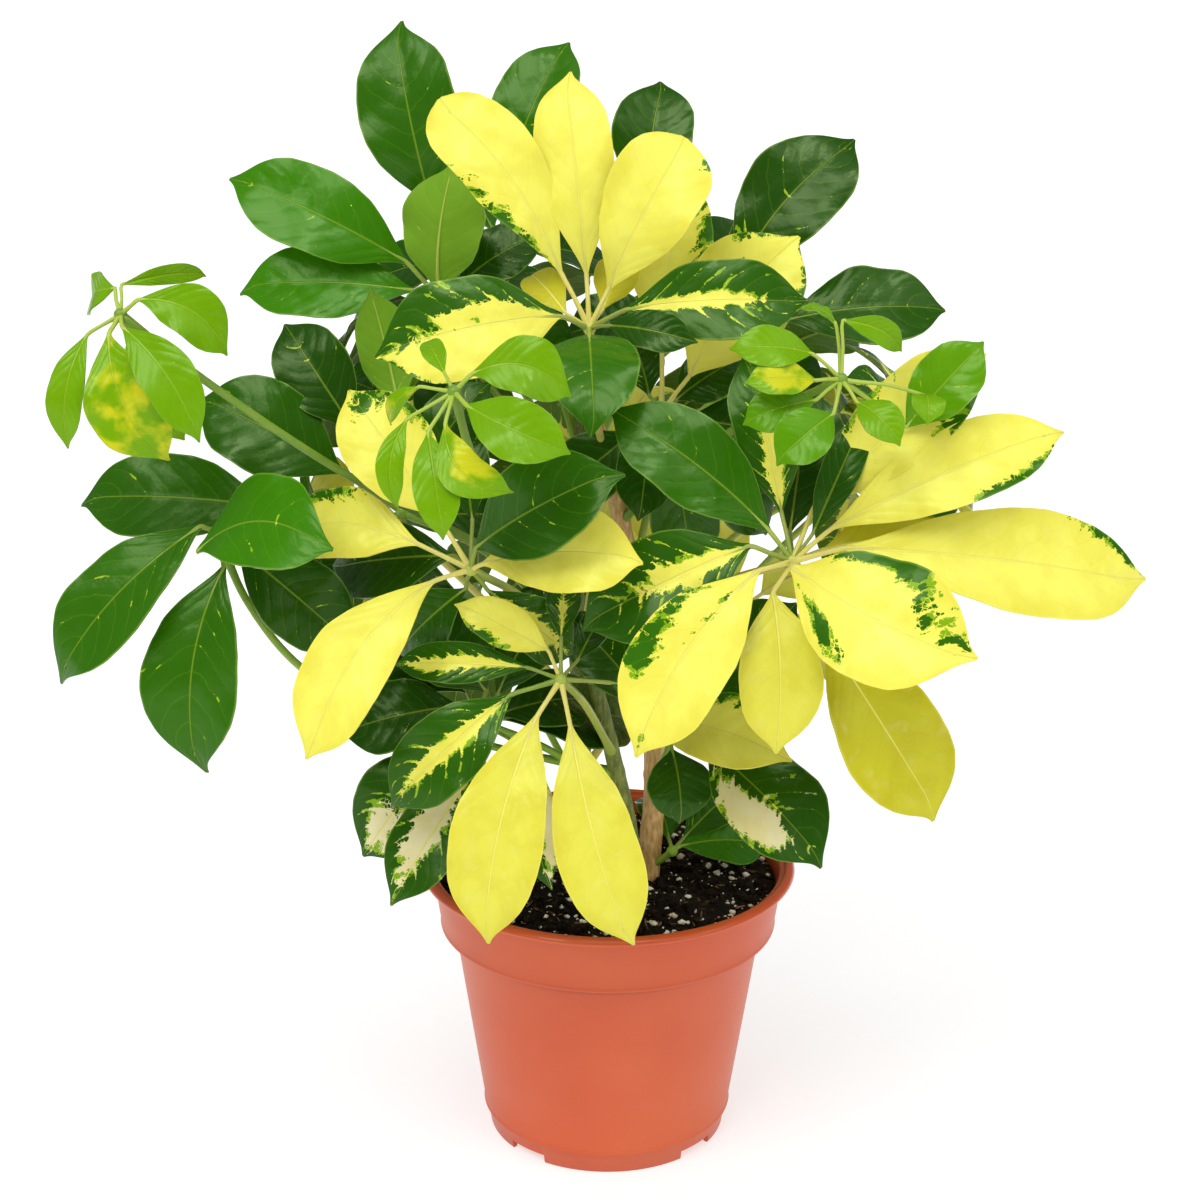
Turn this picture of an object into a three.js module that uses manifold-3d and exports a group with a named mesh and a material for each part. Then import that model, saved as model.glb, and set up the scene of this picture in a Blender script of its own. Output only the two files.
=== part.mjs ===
// Potted umbrella plant: a variegated dwarf umbrella tree in a plastic nursery pot.
// Millimetres, +Z up. The origin is on the pot's axis, at the surface that it stands on.
// +X is to the right and -Y towards the viewer of the plant's front.

import * as THREE from 'three';
import { mergeVertices } from 'three/addons/utils/BufferGeometryUtils.js';
import Module from 'manifold-3d';

const wasm = await Module();
wasm.setup();

// Driving dimensions of the pot.
const rimDiameter = 130;
const potHeight = 100;
const potWall = 1.5;
const collarDrop = 22;
const collarDiameter = 122;
const collarTaper = 2.6;
const bodyTopDiameter = 107.6;
const bodyFootDiameter = 87.4;
const lipThickness = 2.6;
const footRingDiameter = 83.6;
const footRingHeight = 8;
const footRingWidth = 2;
const floorHeight = 3;
const floorRound = 2.5;
const notchCount = 4;
const notchWidth = 15;
const notchHeight = 3.2;
const notchTurn = 48.6;
const drainHoleCount = 5;
const drainHoleDiameter = 8;
const drainHoleCircle = 56;
const cutterDepth = 12;
const potSegments = 30;

// Driving dimensions of the plant, and the gap between pieces that touch.
const soilDrop = 6.5;
const soilCrown = 3;
const stemDepth = 45;
const stemSteps = 13;
const stemSides = 6;
const stemHoleSides = 10;
const scarBulge = 0.05;
const scarSpacing = 60;
const budShare = 0.97;
const budTaper = 0.6;
const gap = 0.3;
const bladeThickness = 0.7;
const stalkRadius = 0.7;
const stalkStart = 1;
const hubRadius = 2.5;
const petioleRadius = 1.5;
const petioleBaseRadius = 1.9;
const petioleFlare = 0.25;
const petioleStep = 24;
const petioleSides = 4;
const seed = 11;

const soilTop = potHeight - soilDrop;
const collarEdge = potHeight - collarDrop;
const collarFoot = collarDiameter / 2 - collarTaper;
const bodyTop = bodyTopDiameter / 2;
const bodyFoot = bodyFootDiameter / 2;

const colours = {
  terracotta: 0xd4653c,
  soil: 0x1c120b,
  bark: 0xa98458,
  greenStem: 0x66702e,
  leafGreen: 0x2c6412,
  leafYellow: 0xe9e24e,
  leafYoung: 0x74a412,
};

// Stems: the points that each one passes through, with its radius at the foot and at the top.
const stems = {
  main: {
    colour: colours.bark,
    radii: [4.5, 2.3],
    points: [
      [14, -6, stemDepth], [14, -6, 86], [14, -6, 97], [16, 2, 133], [12, 0, 180], [5, -8, 219], [-2, -17, 250],
      [-5, -22, 266],
    ],
  },
  left: {
    colour: colours.greenStem,
    radii: [3.6, 2.1],
    points: [
      [9, -15, stemDepth], [9, -15, 86], [9, -15, 97], [7, -17, 117], [-3, -24, 166], [-11, -29, 195],
      [-18, -32, 222],
    ],
  },
  back: {
    colour: colours.greenStem,
    radii: [3.7, 2.2],
    points: [
      [-8, 24, stemDepth], [-8, 24, 86], [-8, 24, 97], [-10, 28, 140], [-12, 32, 200], [-10, 36, 244],
      [-9, 38, 262],
    ],
  },
};

// Compound leaves. hub: where the leaflets meet. from: the stem and the height at which the petiole
// leaves it. via: points that the petiole passes through. facing: where the leaflets' upper sides look.
// A leaflet row holds, in mm from the hub: the end of its own stalk (x, y, z), its tip (x, y, z), then
// its width, how far its middle bows up and to its right, its roll in degrees, and at what share of
// its length, in percent, it is widest.
const compoundLeaves = {
  leaf_crown: {
    hub: [-7, -45, 297], from: ['main', 246], via: [[-6, -32, 272]], facing: [0, -0.85, 0.5],
    colour: colours.leafYellow,
    leaflets: [
      [-9, 4, 17, -47, 14, 67, 26, 7, 3, 0, 66],
      [-1, 6, 16, -8, 22, 75, 24, 7, 0, 0, 60],
      [6, 3, 12, 29, 6, 57, 30, 6, 0, 0, 68],
      [-9, -6, 5, -64, -20, -4, 33, 6, 0, 0, 52],
      [11, -6, 7, 66, -8, 10, 26, 5, 0, 0, 52],
      [6, -10, 3, 32, -20, 0, 13, 3, 0, 0, 52],
      [0, -10, 0, 2, -42, -23, 29, 6, 0, 0, 38],
      [-7, -2, 5, -19, 20, 13, 12, 3, 0, 0, 52],
      [4, 5, 5, 11, 26, 16, 14, 3, 0, 0, 52],
    ],
  },
  leaf_upper_left: {
    hub: [-56, 5, 296], from: ['back', 212], via: [[-30, 24, 262]], facing: [-0.2, -0.8, 0.55],
    colour: colours.leafGreen,
    leaflets: [
      [-9, 0, 3, -66, 5, 3, 26, 5, 0, 0, 52],
      [-11, 2, 12, -69, 12, 38, 29, 6, 0, 0, 52],
      [-3, 10, 29, -15, 28, 86, 33, 7, 0, 0, 48],
      [0, -6, 4, 5, -4, 44, 28, -5, 0, 180, 52],
      [-4, -6, -1, -19, -18, -29, 16, 3, 0, 180, 52],
    ],
  },
  leaf_top: {
    hub: [-38, 45, 304], from: ['back', 236], via: [[-24, 44, 275]], facing: [0, -0.5, 0.8],
    colour: colours.leafGreen,
    leaflets: [
      [2, 10, 22, 23, 26, 69, 29, 6, 0, 0, 52],
      [0, -8, -1, 8, -30, -20, 23, 4, 0, 0, 52],
      [7, 7, 1, 40, 28, -12, 23, 4, 0, 0, 52],
      [-3, 14, 6, -22, 52, 24, 27, 4, 0, 0, 52],
      [-12, -2, -2, -50, 4, -14, 24, 4, 0, 0, 52],
    ],
  },
  leaf_upper_right: {
    hub: [26, 10, 285], from: ['back', 226], via: [[6, 26, 262]], facing: [0.1, -0.75, 0.65],
    colour: colours.leafGreen,
    leaflets: [
      [-14, 12, 39, -9, 30, 78, 27, 6, -2, 0, 52],
      [15, 4, 18, 55, 20, 60, 32, 6, -3, 0, 52],
      [32, 4, 3, 85, 8, 6, 29, 5, 0, 0, 52],
      [4, 12, 4, 17, 52, 29, 27, 5, 0, 0, 52],
      [10, -2, -5, 33, -12, -21, 23, 5, 0, 0, 52],
    ],
  },
  leaf_behind_crown: {
    hub: [16, -22, 265], from: ['main', 205], via: [[14, -12, 240]], facing: [0.1, -0.8, 0.6],
    colour: colours.leafYellow,
    leaflets: [
      [0, 3, 22, 4, 14, 78, 26, 5, 0, 0, 52],
      [9, -2, 13, 42, -2, 57, 35, 6, -2, 0, 56],
      [-4, 4, 5, -10, 16, 22, 16, 3, 0, 0, 52],
      [-4, -6, -1, -7, -20, -30, 19, 4, 0, 0, 52],
      [5, 2, 4, 24, 6, 16, 18, 3, 0, 0, 52],
    ],
  },
  leaf_young_right: {
    hub: [67, -82, 290], from: ['main', 226], via: [[34, -42, 262]], facing: [0.1, -0.8, 0.6],
    colour: colours.leafYoung,
    leaflets: [
      [-9, -2, 8, -33, -6, 10, 13, 3, 0, 0, 52],
      [0, 2, 17, 18, 6, 7, 8, 3, -3, 35, 52],
      [-2, 4, 16, -13, 8, 19, 8, 2, 0, 45, 52],
      [-8, -6, 1, -29, -13, 2, 11, 2, 0, 0, 52],
      [-8, -6, -5, -29, -10, -11, 14, 3, 0, 0, 52],
      [-3, -10, -8, -20, -20, -20, 16, 3, 0, 0, 52],
      [4, -8, -5, 16, -18, -15, 12, 3, 0, 0, 52],
      [24, -3, -4, 24, -14, -10, 10, 3, 0, 0, 52],
      [20, 3, -15, 42, 6, 10, 19, 3, 0, 0, 52],
    ],
  },
  leaf_young_far_left: {
    hub: [-143, -82, 308], from: ['left', 200], via: [[-35, -40, 222], [-81, -62, 255], [-119, -81, 288]],
    facing: [-0.1, -0.85, 0.5],
    colour: colours.leafYoung,
    leaflets: [
      [-9, -4, -5, -15, -12, -37, 11, 4, 2, 0, 52],
      [-2, -8, -4, 14, -14, -40, 22, 5, 4, 0, 52],
      [2, -8, -2, 25, -22, -32, 16, 4, -3, 0, 52],
      [6, -3, 5, 31, -4, -11, 16, 4, -5, 0, 52],
      [0, 4, 8, 22, 22, 8, 6, 3, -2, 40, 52],
      [-2, 4, 7, -11, 18, 0, 13, 3, 0, 0, 52],
      [1, 4, -5, 14, 12, -41, 15, 4, 0, 0, 52],
    ],
  },
  leaf_young_centre: {
    hub: [-45, -105, 291], from: ['left', 212], via: [[-32, -62, 245], [-41, -88, 268]],
    facing: [0, -0.85, 0.5],
    colour: colours.leafYoung,
    leaflets: [
      [-3, 6, 4, -9, 22, 10, 7, 2, 0, 0, 52],
      [-10, 2, 1, -19, 6, -11, 7, 3, 0, 30, 52],
      [-13, -4, -7, -16, -12, -31, 8, 3, 3, 0, 52],
      [-7, -8, -10, -2, -22, -37, 13, 4, 0, 0, 52],
      [-2, -8, -7, 17, -16, -25, 13, 4, 7, 0, 52],
      [4, -8, -2, 33, -18, -13, 18, 5, 2, 0, 52],
      [5, 0, 5, 33, -2, -1, 18, 4, -5, 0, 52],
    ],
  },
  leaf_middle_left: {
    hub: [-42, -85, 232], from: ['left', 175], via: [[-26, -55, 212]], facing: [-0.05, -0.85, 0.5],
    colour: colours.leafYellow,
    leaflets: [
      [-16, 6, 6, -60, 29, 1, 23, 5, 4, 0, 52],
      [-10, 8, 14, -38, 24, 49, 27, 5, 0, 0, 52],
      [-11, -6, -2, -46, -32, -49, 25, 7, 5, 0, 60],
      [4, -4, 3, 51, -18, 9, 26, 5, -2, 0, 60],
      [2, -4, 8, 44, -22, 37, 29, 6, 0, 0, 52],
      [0, 12, 12, -4, 30, 39, 15, 3, 0, 0, 52],
    ],
  },
  leaf_back_left: {
    hub: [-67, -30, 234], from: ['left', 188], via: [[-40, -28, 220]], facing: [-0.2, -0.8, 0.6],
    colour: colours.leafGreen,
    leaflets: [
      [-19, 0, 13, -65, 10, 35, 31, 6, 0, 0, 52],
      [-15, 4, 26, -38, 20, 57, 24, 5, 0, 0, 52],
      [-1, 8, 33, -10, 16, 69, 19, 3, 0, 180, 46],
      [-7, -6, -8, -22, -14, -22, 19, 4, 0, 0, 52],
    ],
  },
  leaf_left: {
    hub: [-120, -70, 239], from: ['left', 140], via: [[-50, -28, 156], [-95, -56, 188], [-112, -66, 215]],
    facing: [-0.2, -0.8, 0.6],
    colour: colours.leafGreen,
    leaflets: [
      [16, 6, 6, -45, 18, 5, 28, 5, 0, 0, 52],
      [-4, -11, -3, 38, -34, 4, 30, 4, -8, 0, 56],
      [-4, -5, 3, -48, -16, -43, 27, 7, 1, 0, 52],
      [3, -8, -9, -5, -24, -69, 31, 7, 3, 0, 52],
      [6, 0, -5, 39, 6, -38, 26, 5, 0, 0, 52],
    ],
  },
  leaf_big_right: {
    hub: [54, -85, 235], from: ['main', 172], via: [[32, -42, 212]], facing: [0.05, -0.85, 0.5],
    colour: colours.leafYellow,
    leaflets: [
      [-7, 2, 9, -55, 14, 43, 27, 6, 1, 0, 52],
      [-3, 8, 13, -14, 26, 57, 20, 5, 0, 0, 52],
      [7, 8, 15, 57, 22, 60, 26, 6, 0, 0, 56],
      [12, 2, 10, 81, 12, 38, 24, 6, -1, 0, 58],
      [16, -2, 5, 112, 23, -14, 33, 8, 0, 0, 60],
      [-1, -13, 2, 49, -41, -17, 39, 6, 4, 0, 52],
      [-6, -6, -8, -5, -24, -52, 25, 6, -1, 0, 52],
      [-11, -10, 0, -47, -34, -49, 30, 7, 4, 0, 56],
      [-13, -4, 6, -63, -8, -18, 30, 6, 0, 0, 52],
      [11, 4, -25, 47, -6, -80, 33, 6, 1, 0, 56],
    ],
  },
  leaf_bottom_centre: {
    hub: [-15, -90, 199], from: ['left', 148], via: [[-8, -55, 178]], facing: [0, -0.85, 0.5],
    colour: colours.leafYellow,
    leaflets: [
      [-7, -8, -9, -22, -32, -72, 28, 8, 3, 0, 56],
      [3, -8, -12, 21, -30, -74, 25, 8, 2, 0, 56],
      [-15, 0, -5, -52, -4, -40, 24, 6, 0, 0, 52],
      [-10, 2, 3, -51, 8, 2, 13, 4, 0, 0, 52],
      [-4, 4, 8, -32, 9, 21, 14, 4, 0, 0, 46],
      [0, 6, 11, 1, 26, 23, 11, 3, 0, 0, 52],
      [5, 6, 4, 13, 24, 13, 10, 3, 0, 0, 52],
      [15, 0, -1, 39, 4, -8, 18, 4, 0, 0, 52],
    ],
  },
  leaf_low_left: {
    hub: [-42, -50, 170], from: ['left', 126], via: [[-18, -32, 152]], facing: [-0.1, -0.8, 0.6],
    colour: colours.leafGreen,
    leaflets: [
      [-6, 0, 5, -44, -4, -3, 24, 5, 0, 0, 52],
      [2, 4, 9, -20, 14, 36, 29, 5, 0, 0, 52],
      [-6, -4, -7, -37, -12, -42, 30, 6, 0, 0, 52],
      [2, -10, -10, -26, -34, -49, 23, 6, 0, 0, 52],
      [13, -8, -5, 23, -34, -43, 16, 5, 0, 0, 52],
    ],
  },
  leaf_low_right: {
    hub: [19, -50, 167], from: ['main', 130], via: [[20, -25, 152]], facing: [0.1, -0.8, 0.6],
    colour: colours.leafGreen,
    leaflets: [
      [1, -4, -5, 4, -16, -25, 21, 5, 0, 0, 52],
      [12, -8, -2, 48, -34, -31, 31, 6, 0, 0, 52],
      [-5, -8, 6, 36, -35, 4, 24, 5, -2, 0, 52],
      [-2, 6, 3, -9, 18, 18, 16, 4, 0, 0, 52],
    ],
  },
  leaf_lowest_right: {
    hub: [22, -12, 108], from: ['main', 99], via: [[19, -9, 104]], facing: [0.2, -0.6, 0.8],
    colour: colours.leafGreen,
    leaflets: [
      [3, 2, 1, 32, 14, -4, 20, 4, 0, 0, 52],
      [-1, 8, 1, -7, 30, 7, 18, 4, 0, 0, 52],
    ],
  },
};

// Compound leaves of the back and the sides, grown by a rule: even fingers round the hub, which look
// along facing. turn is the first finger's angle, and each varies a little in angle, length and roll.
const backLeaves = {
  leaf_rear_top_left: {
    hub: [-50, 81, 258], from: ['back', 200], via: [[-28, 58, 234]], facing: [-0.35, 0.75, 0.55],
    count: 6, length: 46, width: 26, turn: 10, colour: colours.leafGreen,
  },
  leaf_rear_top_right: {
    hub: [50, 79, 256], from: ['back', 188], via: [[14, 58, 228]], facing: [0.35, 0.8, 0.5],
    count: 6, length: 46, width: 26, turn: 30, colour: colours.leafYellow,
  },
  leaf_rear_middle: {
    hub: [0, 103.5, 208], from: ['back', 158], via: [[-5, 66, 190]], facing: [0, 0.85, 0.5],
    count: 7, length: 46, width: 25, turn: 0, colour: colours.leafYellow,
  },
  leaf_rear_left: {
    hub: [-80, 50, 212], from: ['back', 146], via: [[-44, 42, 180]], facing: [-0.65, 0.6, 0.45],
    count: 6, length: 45, width: 26, turn: 20, colour: colours.leafYellow,
  },
  leaf_rear_right: {
    hub: [84, 48, 222], from: ['main', 152], via: [[48, 28, 192]], facing: [0.7, 0.5, 0.5],
    count: 6, length: 44, width: 25, turn: 5, colour: colours.leafGreen,
  },
  leaf_side_left: {
    hub: [-92, 22, 258], from: ['left', 208], via: [[-54, -4, 244]], facing: [-0.85, 0.25, 0.5],
    count: 5, length: 38, width: 23, turn: 0, colour: colours.leafGreen,
  },
  leaf_side_right: {
    hub: [99, -20, 247], from: ['main', 190], via: [[56, -8, 230]], facing: [0.85, -0.05, 0.5],
    count: 6, length: 40, width: 23, turn: 0, colour: colours.leafGreen,
  },
  leaf_rear_low_right: {
    hub: [48, 78, 165], from: ['back', 122], via: [[16, 54, 146]], facing: [0.5, 0.75, 0.4],
    count: 6, length: 42, width: 25, turn: 25, colour: colours.leafGreen,
  },
  leaf_rear_low_left: {
    hub: [-46, 80, 160], from: ['back', 112], via: [[-28, 54, 138]], facing: [-0.45, 0.75, 0.4],
    count: 6, length: 42, width: 25, turn: 15, colour: colours.leafGreen,
  },
};
const backStalk = 12;
const backStalkRise = 25;
const backDroop = 14;
const backScatter = 0.24;
const backAngleScatter = 14;
const backRollScatter = 20;
const backBow = 5;
const backWidest = 54;

// The share of half the width that a blade has at each share of its length.
const bladeOutline = [[0, 0.05], [0.04, 0.13], [0.1, 0.3], [0.18, 0.54], [0.28, 0.79], [0.4, 0.95], [0.52, 1],
  [0.64, 0.96], [0.75, 0.83], [0.84, 0.62], [0.91, 0.35], [0.96, 0.15], [1, 0.04]];
const outlineWidest = 0.52;
const bladeStations = [0.15, 0.38, 0.66, 0.87];
const shortBladeStations = [0.2, 0.5, 0.82];
const shortBlade = 46;
const bladeCup = 0.12;

// Small helpers.
const vector = (xyz) => new THREE.Vector3(...xyz);
const degrees = (angle) => THREE.MathUtils.degToRad(angle);

function randomDraws(start) {
  let state = start;
  return () => {
    state = (state * 1664525 + 1013904223) % 4294967296;
    return state / 4294967296;
  };
}

function solidFrom(geometry) {
  const bare = geometry.clone();
  bare.deleteAttribute('normal');
  bare.deleteAttribute('uv');
  const merged = mergeVertices(bare, 1e-4);
  return new wasm.Manifold(new wasm.Mesh({
    numProp: 3,
    vertProperties: new Float32Array(merged.attributes.position.array),
    triVerts: new Uint32Array(merged.index.array),
  }));
}

function geometryFrom(solid) {
  const mesh = solid.getMesh();
  const geometry = new THREE.BufferGeometry();
  geometry.setAttribute('position', new THREE.BufferAttribute(new Float32Array(mesh.vertProperties), 3));
  geometry.setIndex(new THREE.BufferAttribute(new Uint32Array(mesh.triVerts), 1));
  geometry.computeVertexNormals();
  return geometry;
}

// A closed skin over rings of points, all with the same count. It ends in flat caps, or on a blade of
// six-point rings in an upright edge of two points, which keeps the upper and lower faces alike.
function loft(rings, edge = []) {
  const points = [...rings.flat(), ...edge];
  const count = rings[0].length;
  const triangles = [];
  for (let ring = 0; ring < rings.length - 1; ring += 1) {
    for (let i = 0; i < count; i += 1) {
      const a = ring * count + i;
      const b = ring * count + ((i + 1) % count);
      triangles.push(a, b, a + count, b, b + count, a + count);
    }
  }
  const last = (rings.length - 1) * count;
  for (let i = 1; i < count - 1; i += 1) {
    triangles.push(0, i + 1, i);
    if (edge.length === 0) triangles.push(last, last + i, last + i + 1);
  }
  if (edge.length === 2) {
    const [upper, lower] = [last + count, last + count + 1];
    triangles.push(last, last + 1, upper, last + 1, last + 2, upper, last + 2, last + 3, upper);
    triangles.push(last + 3, lower, upper, last + 3, last + 4, lower, last + 4, last + 5, lower);
    triangles.push(last + 5, last, lower, last, upper, lower);
  }
  const geometry = new THREE.BufferGeometry();
  geometry.setAttribute('position', new THREE.Float32BufferAttribute(points.flatMap((p) => p.toArray()), 3));
  geometry.setIndex(triangles);
  return geometry;
}

// A round tube along a curve, whose radius is given by a function of the share of the way along.
function taperedTube(curve, radiusAt, steps, sides) {
  const frames = curve.computeFrenetFrames(steps, false);
  const rings = [];
  for (let step = 0; step <= steps; step += 1) {
    const share = step / steps;
    const centre = curve.getPointAt(share);
    const ring = [];
    for (let side = 0; side < sides; side += 1) {
      const angle = (side / sides) * 2 * Math.PI;
      ring.push(centre.clone()
        .addScaledVector(frames.normals[step], Math.cos(angle) * radiusAt(share))
        .addScaledVector(frames.binormals[step], Math.sin(angle) * radiusAt(share)));
    }
    rings.push(ring);
  }
  return loft(rings);
}

// Pot: a thin shell turned on its axis, with notches in its foot ring and drain holes in its floor.
function potSolid() {
  const rim = rimDiameter / 2;
  const collarTop = collarDiameter / 2;
  const foot = footRingDiameter / 2;
  const inside = floorHeight + potWall;
  const profile = [
    [0, floorHeight], [foot - footRingWidth, floorHeight], [foot - footRingWidth, 0], [foot, 0],
    [bodyFoot - 1, footRingHeight - 1], [bodyFoot, footRingHeight], [bodyTop, collarEdge],
    [collarFoot, collarEdge], [collarTop, potHeight - lipThickness - 0.6], [rim, potHeight - lipThickness],
    [rim - 0.6, potHeight - 0.3], [rim - 2, potHeight], [collarTop - potWall, potHeight - 3],
    [collarFoot - potWall, collarEdge + 2.2], [bodyTop - potWall, collarEdge + 1.2],
    [bodyFoot - potWall, footRingHeight], [bodyFoot - potWall - floorRound, inside], [0, inside],
  ];
  const lathe = new THREE.LatheGeometry(profile.map(([r, z]) => new THREE.Vector2(r, z)), potSegments);
  lathe.rotateX(Math.PI / 2);
  let solid = solidFrom(lathe);
  for (let notch = 0; notch < notchCount; notch += 1) {
    const angle = degrees(notchTurn - 90 + (notch * 360) / notchCount);
    const cutter = new THREE.BoxGeometry(cutterDepth, notchWidth, notchHeight * 2);
    cutter.translate(foot, 0, 0);
    cutter.rotateZ(angle);
    solid = solid.subtract(solidFrom(cutter));
  }
  for (let hole = 0; hole < drainHoleCount; hole += 1) {
    const angle = ((hole + 0.5) * 2 * Math.PI) / drainHoleCount;
    const cutter = new THREE.CylinderGeometry(drainHoleDiameter / 2, drainHoleDiameter / 2, cutterDepth, 8);
    cutter.rotateX(Math.PI / 2);
    cutter.translate(Math.cos(angle) * drainHoleCircle / 2, Math.sin(angle) * drainHoleCircle / 2, floorHeight);
    solid = solid.subtract(solidFrom(cutter));
  }
  return solid;
}

// Soil: fills the pot to under its rim, a little crowned, with a plain hole for each stem.
function soilSolid() {
  const wall = potWall + gap;
  const soilEdge = collarFoot - wall + ((soilTop - collarEdge) / (potHeight - collarEdge)) * collarTaper;
  const profile = [
    [0, floorHeight + wall], [bodyFoot - wall - floorRound, floorHeight + wall],
    [bodyFoot - wall, footRingHeight + gap], [bodyTop - wall, collarEdge + 1.2 + gap],
    [collarFoot - wall, collarEdge + 2.2 + gap], [soilEdge, soilTop], [0, soilTop + soilCrown],
  ];
  const lathe = new THREE.LatheGeometry(profile.map(([r, z]) => new THREE.Vector2(r, z)), potSegments);
  lathe.rotateX(Math.PI / 2);
  let solid = solidFrom(lathe);
  for (const stem of Object.values(stems)) {
    const radius = (stem.radii[0] * (1 + scarBulge) + gap) / Math.cos(Math.PI / stemHoleSides);
    const height = potHeight - stemDepth;
    const cutter = new THREE.CylinderGeometry(radius, radius, height, stemHoleSides);
    cutter.rotateX(Math.PI / 2);
    cutter.translate(stem.points[0][0], stem.points[0][1], stemDepth - gap + height / 2);
    solid = solid.subtract(solidFrom(cutter));
  }
  return solid;
}

// Stem: a tapered tube, straight in its hole, with slight rings where old leaves stood.
function stemCurve(stem) {
  return new THREE.CatmullRomCurve3(stem.points.map(vector), false, 'centripetal');
}

function stemSolid(stem, grown = 0) {
  const [foot, top] = stem.radii;
  const radiusAt = (share) => {
    const scar = 1 + scarBulge * Math.cos(share * scarSpacing);
    const bud = share > budShare ? budTaper : 1;
    return THREE.MathUtils.lerp(foot, top, share) * scar * bud + grown;
  };
  return solidFrom(taperedTube(stemCurve(stem), radiusAt, stemSteps, stemSides));
}

function pointOnStem(stem, height) {
  const curve = stemCurve(stem);
  let low = 0;
  let high = 1;
  for (let i = 0; i < 30; i += 1) {
    const middle = (low + high) / 2;
    if (curve.getPointAt(middle).z < height) low = middle;
    else high = middle;
  }
  return curve.getPointAt(low);
}

// Blade outline: half the width at a share of the length, with the widest place moved as the leaf has it.
function halfWidthAt(share, widest) {
  const moved = share < widest
    ? (share / widest) * outlineWidest
    : outlineWidest + ((share - widest) / (1 - widest)) * (1 - outlineWidest);
  const next = bladeOutline.findIndex(([t]) => t >= moved);
  if (next <= 0) return bladeOutline[0][1];
  const [t0, w0] = bladeOutline[next - 1];
  const [t1, w1] = bladeOutline[next];
  return THREE.MathUtils.mapLinear(moved, t0, t1, w0, w1);
}

// Directions along, out of and across a blade, for its chord, the way that it looks and its roll.
function bladeFrame(chord, facing, roll) {
  const along = chord.clone().normalize();
  const up = facing.clone().addScaledVector(along, -facing.dot(along)).normalize();
  up.applyAxisAngle(along, degrees(roll));
  return { along, up, across: along.clone().cross(up) };
}

// One cross-section of six points: over the left edge, midrib and right edge, then back below them.
function section(centre, frame, halfWidth, cup, thickness) {
  const at = (side, lift) => centre.clone()
    .addScaledVector(frame.across, side * halfWidth)
    .addScaledVector(frame.up, lift);
  const half = thickness / 2;
  const over = [at(-1, cup + half), at(0, half), at(1, cup + half)];
  const under = [at(1, cup - half), at(0, -half), at(-1, cup - half)];
  return [...over, ...under];
}

function leafletSolid(hub, facing, row, simple) {
  const [sx, sy, sz, tx, ty, tz, width, bow, sway, roll, widest] = row;
  const foot = hub.clone().add(new THREE.Vector3(sx, sy, sz));
  const tip = hub.clone().add(new THREE.Vector3(tx, ty, tz));
  const chord = tip.clone().sub(foot);
  const length = chord.length();
  const blade = bladeFrame(chord, facing, roll);
  const stalk = bladeFrame(foot.clone().sub(hub), blade.up, 0);
  const pointAt = (share) => {
    const hump = 4 * share * (1 - share);
    return foot.clone()
      .addScaledVector(blade.along, share * length)
      .addScaledVector(blade.up, bow * hump)
      .addScaledVector(blade.across, sway * hump);
  };
  const stalkFoot = hub.clone().addScaledVector(stalk.along, stalkStart);
  const bend = bladeFrame(blade.along.clone().add(stalk.along), blade.up, 0);
  const rings = [
    section(stalkFoot, stalk, stalkRadius, 0, 2 * stalkRadius),
    section(foot, bend, stalkRadius, 0, 2 * stalkRadius),
  ];
  for (const share of length < shortBlade || simple ? shortBladeStations : bladeStations) {
    const halfWidth = (width / 2) * halfWidthAt(share, widest / 100);
    rings.push(section(pointAt(share), blade, halfWidth, bladeCup * halfWidth, bladeThickness));
  }
  const half = bladeThickness / 2;
  const tipEdge = [tip.clone().addScaledVector(blade.up, half), tip.clone().addScaledVector(blade.up, -half)];
  return solidFrom(loft(rings, tipEdge));
}

// The rows of a compound leaf that is grown by the rule.
function evenLeaflets(leaf, draw) {
  const axis = vector(leaf.facing).normalize();
  const side = new THREE.Vector3(0, 0, 1).cross(axis).normalize();
  const rise = axis.clone().cross(side);
  const rows = [];
  for (let i = 0; i < leaf.count; i += 1) {
    const angle = degrees(leaf.turn + (i * 360) / leaf.count + (draw() - 0.5) * backAngleScatter);
    const out = side.clone().multiplyScalar(Math.cos(angle)).addScaledVector(rise, Math.sin(angle));
    const length = leaf.length * (1 + (draw() - 0.5) * backScatter);
    const foot = out.clone().multiplyScalar(backStalk * Math.cos(degrees(backStalkRise)))
      .addScaledVector(axis, backStalk * Math.sin(degrees(backStalkRise)));
    const tip = foot.clone().addScaledVector(out, length * Math.cos(degrees(backDroop)))
      .addScaledVector(axis, -length * Math.sin(degrees(backDroop)));
    const roll = (draw() - 0.5) * backRollScatter;
    rows.push([...foot.toArray(), ...tip.toArray(), leaf.width, backBow, 0, roll, backWidest]);
  }
  return rows;
}

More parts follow.
